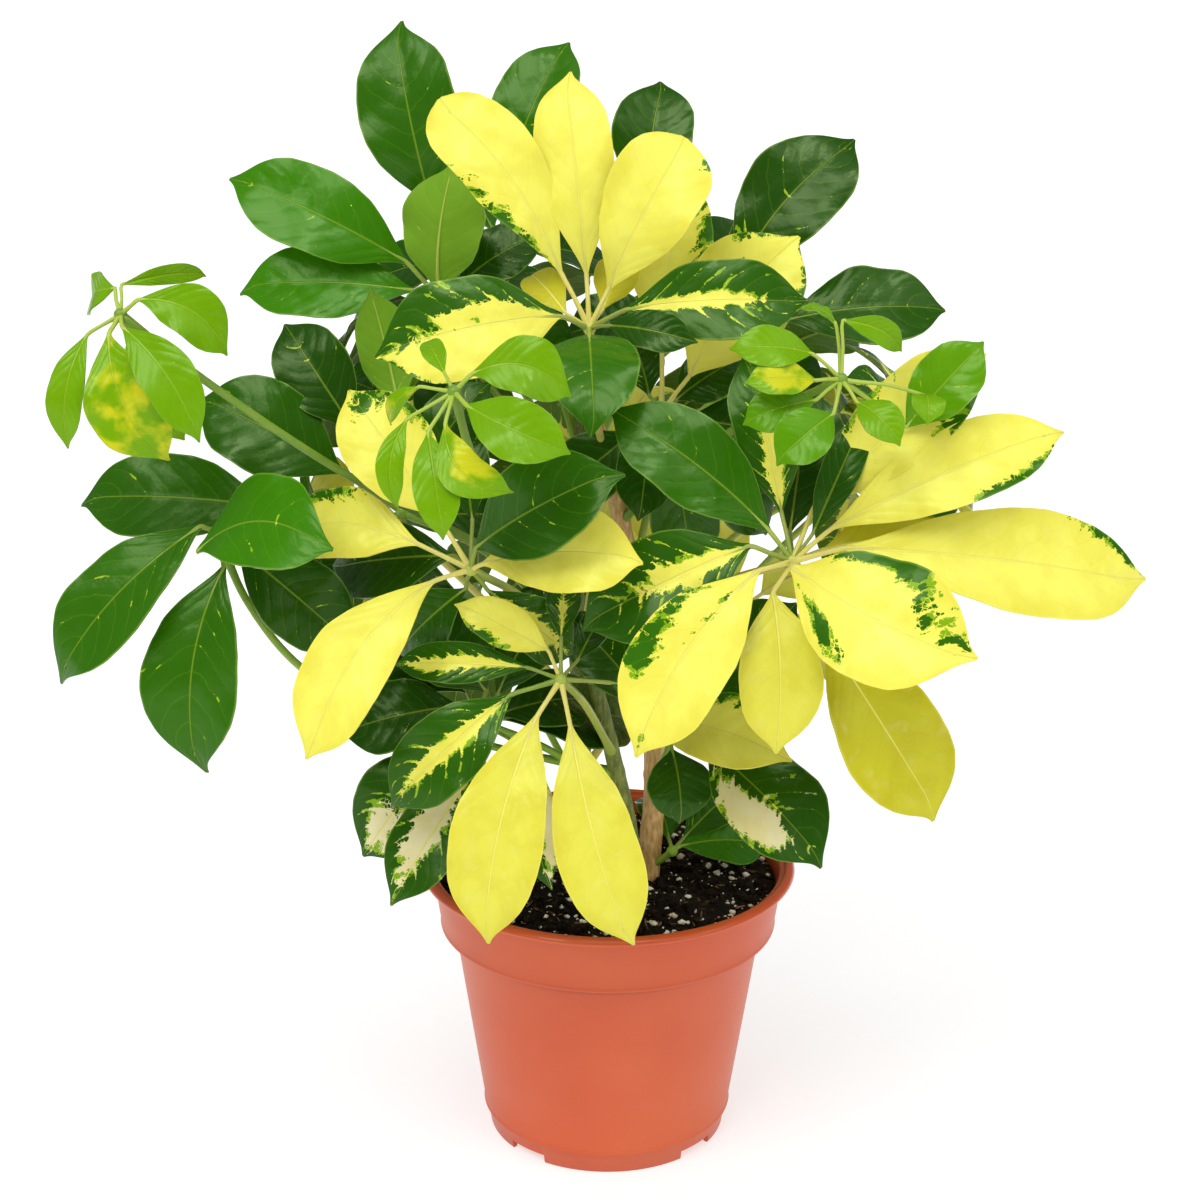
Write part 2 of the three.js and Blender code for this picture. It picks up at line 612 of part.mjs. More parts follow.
// Compound leaf: petiole, hub and leaflets joined as one body, clear of the stem that carries it.
function compoundLeafSolid(leaf, rows) {
  const hub = vector(leaf.hub);
  const stem = stems[leaf.from[0]];
  const start = pointOnStem(stem, leaf.from[1]);
  const path = new THREE.CatmullRomCurve3([start, ...leaf.via.map(vector), hub], false, 'centripetal');
  const radiusAt = (share) => {
    const slimmed = Math.min(1, share / petioleFlare);
    return THREE.MathUtils.lerp(petioleBaseRadius, petioleRadius, slimmed);
  };
  const steps = Math.max(4, Math.round(path.getLength() / petioleStep));
  const petiole = solidFrom(taperedTube(path, radiusAt, steps, petioleSides));
  const knob = solidFrom(new THREE.OctahedronGeometry(hubRadius, 0).translate(...leaf.hub));
  const leaflets = rows.map((row) => leafletSolid(hub, vector(leaf.facing), row, Boolean(leaf.count)));
  let solid = petiole.add(knob);
  for (const leaflet of leaflets) solid = solid.add(leaflet);
  solid = solid.subtract(stemSolid(stem, gap));
  const bodies = solid.decompose();
  return bodies.reduce((a, b) => (a.volume() > b.volume() ? a : b));
}

// Assembly.
const plant = new THREE.Group();

function addPiece(name, solid, colour, roughness) {
  const material = new THREE.MeshStandardMaterial({ color: colour, roughness, metalness: 0 });
  const mesh = new THREE.Mesh(geometryFrom(solid), material);
  mesh.name = name;
  plant.add(mesh);
}

addPiece('pot', potSolid(), colours.terracotta, 0.45);
addPiece('soil', soilSolid(), colours.soil, 1);
for (const [name, stem] of Object.entries(stems)) {
  addPiece(`stem_${name}`, stemSolid(stem), stem.colour, 0.75);
}
for (const [name, leaf] of Object.entries(compoundLeaves)) {
  addPiece(name, compoundLeafSolid(leaf, leaf.leaflets), leaf.colour, 0.35);
}
const draw = randomDraws(seed);
for (const [name, leaf] of Object.entries(backLeaves)) {
  addPiece(name, compoundLeafSolid(leaf, evenLeaflets(leaf, draw)), leaf.colour, 0.35);
}

export default plant;
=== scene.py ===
# A variegated umbrella plant in a terracotta-coloured nursery pot.
import math
import random

import bpy
import numpy as np
from mathutils import Matrix, Quaternion, Vector, noise


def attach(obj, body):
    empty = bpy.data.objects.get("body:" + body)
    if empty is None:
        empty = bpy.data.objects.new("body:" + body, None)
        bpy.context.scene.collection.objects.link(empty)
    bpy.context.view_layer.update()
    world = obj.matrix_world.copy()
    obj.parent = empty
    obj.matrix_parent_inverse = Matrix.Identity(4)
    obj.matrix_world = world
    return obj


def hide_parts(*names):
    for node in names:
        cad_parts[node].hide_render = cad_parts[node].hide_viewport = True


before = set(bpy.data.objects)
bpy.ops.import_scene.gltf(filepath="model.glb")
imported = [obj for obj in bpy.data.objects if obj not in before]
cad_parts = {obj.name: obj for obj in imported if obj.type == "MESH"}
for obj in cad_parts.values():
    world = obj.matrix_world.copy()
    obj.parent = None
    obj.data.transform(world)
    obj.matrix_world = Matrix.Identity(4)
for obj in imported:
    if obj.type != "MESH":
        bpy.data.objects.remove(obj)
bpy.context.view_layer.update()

mm = 0.001
fullTurn = 6.283
bpy.ops.object.select_all(action="DESELECT")
print("frame loaded:", len(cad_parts), "nodes")


cameraValues = {
    "place": (-0.0033, -0.770, 0.4465),
    "tilt": 71.9,  # degrees up from straight down
    "roll": 0.3,
    "lens": 72,
    "sees": (0.01, 60),
}


def makeCamera(values):
    turn = Matrix.Rotation(math.radians(values["tilt"]), 4, "X")
    roll = Matrix.Rotation(math.radians(values["roll"]), 4, "Z")
    bpy.ops.object.camera_add(location=values["place"], rotation=(turn @ roll).to_euler())
    camera = bpy.context.object
    camera.name = "camera"
    camera.data.lens = values["lens"]
    camera.data.clip_start, camera.data.clip_end = values["sees"]
    bpy.context.scene.camera = camera


makeCamera(cameraValues)
print("camera placed")


# helpers that add nodes to the material being made
current = {"tree": None}


def colour(hexText):
    # screen colour to scene-linear red, green, blue and alpha
    parts = [int(hexText[i:i + 2], 16) / 255 for i in (1, 3, 5)]
    return tuple(((c + 0.055) / 1.055) ** 2.4 if c > 0.04045 else c / 12.92 for c in parts) + (1,)


def addNode(kind, inputs=None, **settings):
    # an input takes a link, a screen colour or a value
    made = current["tree"].nodes.new("ShaderNode" + kind)
    for key, value in settings.items():
        setattr(made, key, value)
    for key, value in (inputs or {}).items():
        if isinstance(value, bpy.types.NodeSocket):
            current["tree"].links.new(value, made.inputs[key])
        else:
            made.inputs[key].default_value = colour(value) if isinstance(value, str) else value
    return made


def calc(operation, a, b=0.0, c=0.0):
    return addNode("Math", {0: a, 1: b, 2: c}, operation=operation).outputs[0]


def times(a, b):
    return calc("MULTIPLY", a, b)


def plus(a, b):
    return calc("ADD", a, b)


def minus(a, b):
    return calc("SUBTRACT", a, b)


def scaled(value, factor, start):
    return calc("MULTIPLY_ADD", value, factor, start)


def step(value, low, high, start=0.0, end=1.0):
    # a smooth step from start to end as value goes from low to high
    return addNode("MapRange", {0: value, 1: low, 2: high, 3: start, 4: end},
                   interpolation_type="SMOOTHSTEP").outputs[0]


def blend(share, a, b, way="MIX"):
    return addNode("Mix", {0: share, 6: a, 7: b}, data_type="RGBA", blend_type=way).outputs[2]


def tinted(base, tint):
    return blend(1.0, base, (*tint, 1), "MULTIPLY")


def ramp(value, stops):
    made = addNode("ValToRGB", {0: value})
    while len(made.color_ramp.elements) < len(stops):
        made.color_ramp.elements.new(0.5)
    for element, (place, tone) in zip(made.color_ramp.elements, stops):
        element.position = place
        element.color = colour(tone)
    return made.outputs[0]


def grain(where, scale, detail=2.0, rough=0.5):
    inputs = {"Vector": where, "Scale": scale, "Detail": detail, "Roughness": rough}
    return addNode("TexNoise", inputs).outputs["Fac"]


def cellPattern(where, scale, **settings):
    return addNode("TexVoronoi", {"Vector": where, "Scale": scale}, **settings).outputs


def bump(height, strength, distance):
    return addNode("Bump", {"Height": height, "Strength": strength, "Distance": distance}).outputs[0]


def startMaterial(name):
    made = bpy.data.materials.new(name)
    made.use_nodes = True
    made.node_tree.nodes.clear()
    current["tree"] = made.node_tree
    return made


def startOnPiece(name):
    return startMaterial(name), addNode("TexCoord").outputs["Object"]


def finishMaterial(base, rough, normal=None, more=None):
    inputs = {"Base Color": base, "Roughness": rough, **(more or {})}
    if normal is not None:
        inputs["Normal"] = normal
    addNode("OutputMaterial", {"Surface": addNode("BsdfPrincipled", inputs).outputs[0]})


leafColours = {
    "yellow": "#ebe65e",
    "dullYellow": "#c6c12a",
    "cream": "#e6dcae",
    "lime": "#7da60e",
    "deep": "#193f04",
    "mid": "#295c04",
    "bright": "#387a02",
    "young": "#6b9a00",
    "blotch": "#c2c41a",
    "veinCount": 8,
    "veinSweep": 0.26,
    "cellsPerCm": 7.0,
    "patchScatter": 0.9,
    "streakScatter": 2.0,
    "cellScatter": 0.35,
}


def readAttribute(name):
    vector = addNode("Attribute", attribute_name=name).outputs["Vector"]
    return vector, addNode("SeparateXYZ", {0: vector}).outputs


def veinLines(values, shares, fine):
    # side veins leave the midrib and sweep towards the tip
    away = calc("ABSOLUTE", shares[1])
    bend = times(calc("POWER", away, 1.5), values["veinSweep"])
    wobble = times(minus(fine, 0.5), 0.05)
    along = plus(minus(shares[0], bend), wobble)
    ripple = calc("PINGPONG", times(along, values["veinCount"]), 0.5)
    side = step(ripple, 0.0, 0.06, 1.0, 0.0)
    return times(side, step(away, 0.72, 0.97, 1.0, 0.0)), ripple, away


def bladeMaterial(name, values, under):
    made = startMaterial(name)
    looks = readAttribute("leafLook")[1]  # greenness, age and tone
    place, places = readAttribute("leafPlace")  # cm along and across the blade
    shares = readAttribute("leafShare")[1]  # of the length and of half the width
    fine = grain(place, 2.2)
    broad = grain(place, 1.1, 3.0)
    swell = grain(place, 0.75, 1.0)
    side, ripple, away = veinLines(values, shares, fine)
    across = calc("ABSOLUTE", places[1])
    # streaks of colour run along the side veins
    slant = times(minus(places[0], times(across, 0.8)), 3.4)
    streakPlace = addNode("CombineXYZ", {0: slant, 1: times(places[1], 1.1), 2: places[2]})
    streak = grain(streakPlace.outputs[0], 1.0)
    cells = cellPattern(place, values["cellsPerCm"])
    cellDraw = addNode("SeparateColor", {0: cells["Color"]}).outputs[0]
    green = looks[0]
    for source, amount in ((broad, "patchScatter"), (streak, "streakScatter"), (cellDraw, "cellScatter")):
        green = plus(green, times(minus(source, 0.5), values[amount]))
    # a weak green gives way along its side veins first, and its cells stand apart in a paler net
    green = minus(green, times(step(ripple, 0.0, 0.16, 0.5, 0.0), step(away, 0.6, 0.95, 1.0, 0.0)))
    net = cellPattern(place, values["cellsPerCm"], feature="DISTANCE_TO_EDGE")["Distance"]
    green = minus(green, times(step(net, 0.03, 0.09, 1.0, 0.0), step(green, 0.65, 1.0, 0.35, 0.0)))
    isDeep = step(minus(green, step(fine, 0.42, 0.6, 0.52, 1.05)), 0.0, 0.04)
    isLime = step(green, 0.48, 0.52)
    greens = ramp(looks[1], [(0.0, values["deep"]), (0.3, values["mid"]), (0.6, values["bright"]),
                             (1.0, values["young"])])
    greens = blend(times(broad, 0.5), greens, tinted(greens, (1.5, 1.45, 1.0)))
    # the youngest leaflets have soft golden blotches
    isYoungest = times(step(looks[1], 0.9, 0.94), step(looks[2], 0.2, 0.3))
    greens = blend(times(isYoungest, step(broad, 0.42, 0.6)), greens, values["blotch"])
    yellows = ramp(looks[2], [(0.0, values["yellow"]), (0.5, values["dullYellow"]), (1.0, values["cream"])])
    yellows = blend(step(broad, 0.42, 0.62, 0.0, 0.5), yellows, tinted(yellows, (0.88, 0.84, 0.55)))
    yellows = blend(step(fine, 0.5, 0.8, 0.0, 0.16), yellows, "#f6f2a0")
    yellows = blend(step(away, 0.45, 1.0, 0.0, 0.6), yellows, tinted(yellows, (0.92, 0.88, 0.6)))
    base = blend(isDeep, blend(isLime, yellows, values["lime"]), greens)
    veinTone = blend(isDeep, tinted(yellows, (0.9, 0.88, 0.7)), blend(0.35, greens, "#8cb420"))
    base = blend(times(side, 0.8 if under else 0.3), base, veinTone)
    rib = step(minus(across, scaled(shares[0], -0.028, 0.042)), -0.015, 0.015, 1.0, 0.0)
    base = blend(times(rib, 0.85), base, blend(isDeep, "#ece36a", blend(0.38, greens, "#a4c030")))
    edge = times(step(away, 0.955, 0.985), 0.4)
    base = blend(edge, base, blend(isDeep, "#e6df62", "#86a83e"))
    if under:
        base = blend(0.25, base, "#8fa84a")
    height = plus(times(step(ripple, 0.0, 0.4), 0.2), times(fine, 0.55))
    height = plus(height, times(swell, 4.0))
    height = plus(height, times(cells["Distance"], 0.06))
    height = minus(height, times(rib, 0.8))
    rough = minus(scaled(broad, 0.2, 0.42 if under else 0.2), times(isDeep, 0.04))
    finishMaterial(base, rough, bump(height, 0.5, 0.0006),
                   {"Specular IOR Level": 0.14 if under else 0.3, "Specular Tint": (0.78, 1.0, 0.5, 1)})
    return made


def stalkMaterial(name):
    made, where = startOnPiece(name)
    looks = readAttribute("leafLook")[1]
    mottle = grain(where, 240.0, 3.0)
    greenTone = ramp(looks[1], [(0.0, "#3b7212"), (0.5, "#76a826"), (1.0, "#9cc038")])
    isGreen = step(plus(looks[0], times(grain(where, 60.0), 0.3)), 0.45, 0.95)
    base = blend(isGreen, "#e4d873", greenTone)
    base = blend(times(mottle, 0.4), base, "#b7b35a")
    rough = scaled(mottle, 0.15, 0.32)
    finishMaterial(base, rough, bump(mottle, 0.25, 0.0003), {"Specular IOR Level": 0.35})
    return made


bladeTop = bladeMaterial("bladeTop", leafColours, False)
bladeUnderside = bladeMaterial("bladeUnderside", leafColours, True)
stalkSkin = stalkMaterial("stalkSkin")
print("leaf materials made")


bladeValues = {
    "seed": 5,
    "stations": 54,
    "rows": 14,
    "thickness": 0.5,  # mm
    "smooth": 50,  # degrees
    "cup": 0.12,
    "quilt": 0.03,
    "ripple": 0.045,
    "tipCurl": 0.10,
    "outline": [(0, 0.05), (0.04, 0.13), (0.1, 0.3), (0.18, 0.54), (0.28, 0.79), (0.4, 0.95), (0.52, 1),
                (0.64, 0.98), (0.74, 0.9), (0.82, 0.73), (0.88, 0.51), (0.925, 0.29), (0.955, 0.15),
                (0.98, 0.08), (1, 0.02)],
    "roundEnd": [(0.64, 0.99), (0.76, 0.93), (0.86, 0.78), (0.93, 0.56), (0.97, 0.33), (0.99, 0.15),
                 (1, 0.03)],
    "roundFrom": 0.64,  # blades that are widest beyond this share have a round end
    "hook": 0.035,
    "widest": 0.52,
}

# greenness (below 0.5 is yellow, above is green), age (0 old, 1 young) and tone (0.5 dull, 1 cream)
leafLooks = {
    "yellow": (-0.75, 0.3, 0.0),
    "gold": (-0.4, 0.3, 0.0),
    "dull": (-0.75, 0.3, 0.5),
    "soft": (-0.75, 0.3, 0.22),
    "green": (1.75, 0.22, 0.0),
    "splashed": (1.45, 0.2, 0.0),
    "deep": (1.75, 0.06, 0.0),
    "mid": (1.75, 0.34, 0.0),
    "bright": (1.75, 0.55, 0.0),
    "olive": (1.75, 0.85, 0.4),
    "creamGreen": (1.45, 0.12, 1.0),
    "fresh": (1.75, 0.75, 0.0),
    "young": (1.75, 0.95, 0.1),
    "youngGold": (1.75, 1.0, 0.35),
}


def smoothLine(points, perSpan):
    # a centripetal Catmull-Rom line through the points
    points = [Vector(p) for p in points]
    padded = [2 * points[0] - points[1], *points, 2 * points[-1] - points[-2]]
    line = []
    for i in range(len(points) - 1):
        p0, p1, p2, p3 = padded[i:i + 4]
        t1 = max((p1 - p0).length ** 0.5, 1e-4)
        t2 = t1 + max((p2 - p1).length ** 0.5, 1e-4)
        t3 = t2 + max((p3 - p2).length ** 0.5, 1e-4)
        for k in range(perSpan):
            t = t1 + (t2 - t1) * k / perSpan
            a1 = p0 * ((t1 - t) / t1) + p1 * (t / t1)
            a2 = p1 * ((t2 - t) / (t2 - t1)) + p2 * ((t - t1) / (t2 - t1))
            a3 = p2 * ((t3 - t) / (t3 - t2)) + p3 * ((t - t2) / (t3 - t2))
            b1 = a1 * ((t2 - t) / t2) + a2 * (t / t2)
            b2 = a2 * ((t3 - t) / (t3 - t1)) + a3 * ((t - t1) / (t3 - t1))
            line.append(b1 * ((t2 - t) / (t2 - t1)) + b2 * ((t - t1) / (t2 - t1)))
    line.append(points[-1])
    return line


def lineShares(line):
    lengths = [0.0]
    for a, b in zip(line, line[1:]):
        lengths.append(lengths[-1] + (b - a).length)
    return [d / lengths[-1] for d in lengths]


def addAttributes(mesh, look, place=None, share=None):
    count = len(mesh.vertices)
    for name, values in (("leafLook", look), ("leafPlace", place), ("leafShare", share)):
        layer = mesh.attributes.new(name, "FLOAT_VECTOR", "POINT")
        if values is not None:
            flat = np.broadcast_to(np.asarray(values, dtype=np.float32), (count, 3))
            layer.data.foreach_set("vector", np.ascontiguousarray(flat).ravel())


def selectOnly(*things):
    bpy.ops.object.select_all(action="DESELECT")
    for thing in things:
        thing.select_set(True)
    bpy.context.view_layer.objects.active = things[0]


def editAll():
    bpy.ops.object.mode_set(mode="EDIT")
    bpy.ops.mesh.select_all(action="SELECT")


def closeEdit():
    bpy.ops.mesh.normals_make_consistent(inside=False)
    bpy.ops.object.mode_set(mode="OBJECT")


def joinAll(things, name):
    selectOnly(*things)
    if len(things) > 1:
        bpy.ops.object.join()
    things[0].name = name
    things[0].data.name = name
    return things[0]


def makeTube(name, tube, sides=12):
    # a tube is a list of (point, radius) in mm
    line = bpy.data.curves.new(name, "CURVE")
    line.dimensions = "3D"
    line.bevel_depth = mm
    line.bevel_resolution = sides // 4
    line.use_fill_caps = True
    spline = line.splines.new("POLY")
    spline.points.add(len(tube) - 1)
    for spot, (place, radius) in zip(spline.points, tube):
        spot.co = (*[c * mm for c in place], 1)
        spot.radius = radius
    piece = bpy.data.objects.new(name, line)
    bpy.context.collection.objects.link(piece)
    selectOnly(piece)
    bpy.ops.object.convert(target="MESH")
    editAll()
    bpy.ops.mesh.remove_doubles(threshold=1e-6)
    closeEdit()
    bpy.context.object.name = name
    return bpy.context.object


bpy.ops.mesh.primitive_grid_add(x_subdivisions=bladeValues["stations"],
                                y_subdivisions=bladeValues["rows"], size=2)
bladeBlank = bpy.context.object
bladeBlank.name = "bladeBlank"


def halfWidths(shares, widest, values):
    # half the width as a share of its greatest, with the widest place moved as the leaf has it
    moved = np.where(shares < widest, shares / widest * values["widest"],
                     values["widest"] + (shares - widest) / (1 - widest) * (1 - values["widest"]))
    outline = values["outline"]
    if widest >= values["roundFrom"]:
        outline = outline[:7] + values["roundEnd"]
    at, width = np.array(outline).T
    softer = [np.interp(np.clip(moved + offset, 0, 1), at, width) for offset in (-0.015, 0, 0.015)]
    return softer[0] * 0.25 + softer[1] * 0.5 + softer[2] * 0.25


def bladeFrame(chord, facing, roll):
    along = chord.normalized()
    up = (facing - along * facing.dot(along)).normalized()
    up = Quaternion(along, math.radians(roll)) @ up
    return along, up, along.cross(up)


def readLeaflet(row):
    # fills in what a row leaves out: no sway, no roll, widest at 52 hundredths, and no patches
    kind, foot, tip, *numbers = row
    patches = numbers.pop() if isinstance(numbers[-1], list) else []
    return (kind, Vector(foot), Vector(tip), *numbers, *(0, 0, 52)[len(numbers) - 2:], patches)


def makeBlade(hub, facing, row, number, draws, values):
    kind, foot, tip, width, bow, sway, roll, widest, patches = readLeaflet(row)
    foot = hub + foot
    tip = hub + tip
    length = (tip - foot).length
    along, up, across = bladeFrame(tip - foot, facing, roll)
    mesh = bladeBlank.data.copy()
    blade = bpy.data.objects.new(f"blade{number}", mesh)
    bpy.context.collection.objects.link(blade)
    flat = np.empty(len(mesh.vertices) * 3, dtype=np.float32)
    mesh.vertices.foreach_get("co", flat)
    flat = flat.reshape(-1, 3)
    t = (flat[:, 0] + 1) / 2
    s = 0.55 * t + 0.45 * (0.5 - 0.5 * np.cos(math.pi * t))
    v = -flat[:, 1]
    away = np.abs(v)
    half = width / 2 * halfWidths(s, widest / 100, values)
    phase = draws.uniform(0, 6.28)
    waves = draws.uniform(1.6, 2.6)
    half = half * (1 + 0.015 * np.sin(s * 17 + phase * 2 + v))
    hump = 4 * s * (1 - s)
    body = np.sin(math.pi * np.clip(s, 0, 1))
    lift = values["cup"] * half * (1.5 * away - 0.5 * away ** 3)
    wave = np.sin(fullTurn * s * waves + phase + 2.2 * (v > 0))
    lift += values["ripple"] * width * away ** 2 * body * wave
    vein = s - leafColours["veinSweep"] * away ** 1.5
    bulge = np.cos(fullTurn * (leafColours["veinCount"] * vein - 0.5))
    lift += values["quilt"] * bulge * 4 * away * (1 - away) * body * min(1.0, width / 24)
    end = np.clip((s - 0.84) / 0.16, 0, 1) ** 2
    lift -= values["tipCurl"] * length * end * draws.uniform(0.1, 0.5)
    hook = values["hook"] * length * end * draws.uniform(-1, 1)
    middle = np.outer(s * length, along) + np.outer(bow * hump + lift, up)
    middle += np.outer(sway * hump + v * half + hook, across)
    places = (middle + np.array(foot)) * mm
    mesh.vertices.foreach_set("co", places.astype(np.float32).ravel())
    mesh.update()
    start, age, tone = leafLooks[kind]
    green = np.full(len(s), start)
    for ps, pv, rs, rv, amount in patches:
        green += amount * np.exp(-(((s - ps) / rs) ** 2 + ((v - pv) / rv) ** 2))
    age = min(1.0, max(0.0, age + draws.uniform(-0.04, 0.04)))
    look = np.column_stack((green, np.full(len(s), age), np.full(len(s), tone)))
    place = np.column_stack((s * length / 10, v * half / 10, np.full(len(s), number * 3.7)))
    addAttributes(mesh, look, place, np.column_stack((s, v, np.zeros(len(s)))))
    mesh.materials.append(bladeTop)
    mesh.materials.append(bladeUnderside)
    # the petiolule goes on under the blade as its midrib: share of the length, depth and radius
    small = 0.55 + 0.45 * min(1.0, width / 26)
    rib = [(hub, 1.05), (hub.lerp(foot, 0.12), 1.0),
           (hub.lerp(foot, 0.55) + up * (0.05 * (foot - hub).length), 0.72), (foot, 0.78)]
    for share, sunk, radius in ((0.05, 0.25, 0.72), (0.2, 0.38, 0.58), (0.4, 0.36, 0.46), (0.6, 0.3, 0.36),
                                (0.8, 0.22, 0.24), (0.92, 0.2, 0.16)):
        hump = 4 * share * (1 - share)
        spot = foot + along * (share * length) + up * (bow * hump - sunk) + across * (sway * hump)
        rib.append((spot, radius))
    line = smoothLine([p for p, r in rib], 3)
    radii = np.interp(np.arange(len(line)) / 3, range(len(rib)), [r * small for p, r in rib])
    return blade, list(zip(line, radii)), (start, age, tone)


# the stems' lines, which the leaves start from
stemValues = {
    "main": {"radii": (4.5, 2.3), "points": [
        (14, -6, 45), (14, -6, 86), (14, -6, 97), (16, 2, 133), (12, 0, 180), (5, -8, 219), (-2, -17, 250),
        (-5, -22, 266)]},
    "left": {"radii": (3.6, 2.1), "points": [
        (9, -15, 45), (9, -15, 86), (9, -15, 97), (7, -17, 117), (-3, -24, 166), (-11, -29, 195),
        (-18, -32, 222)]},
    "back": {"radii": (3.7, 2.2), "points": [
        (-8, 24, 45), (-8, 24, 86), (-8, 24, 97), (-10, 28, 140), (-12, 32, 200), (-10, 36, 244),
        (-9, 38, 262)]},
}


def pointOnStem(name, height):
    line = smoothLine(stemValues[name]["points"], 16)
    for a, b in zip(line, line[1:]):
        if a.z <= height <= b.z:
            return a.lerp(b, (height - a.z) / (b.z - a.z))
    return line[-1]


# radii in mm at shares of the petiole's length, and that of the knob on its end
petioleValues = {"shares": (0, 0.05, 0.16, 0.9, 1), "radii": (2.3, 1.7, 1.3, 1.25, 1.6), "knob": 2.0}

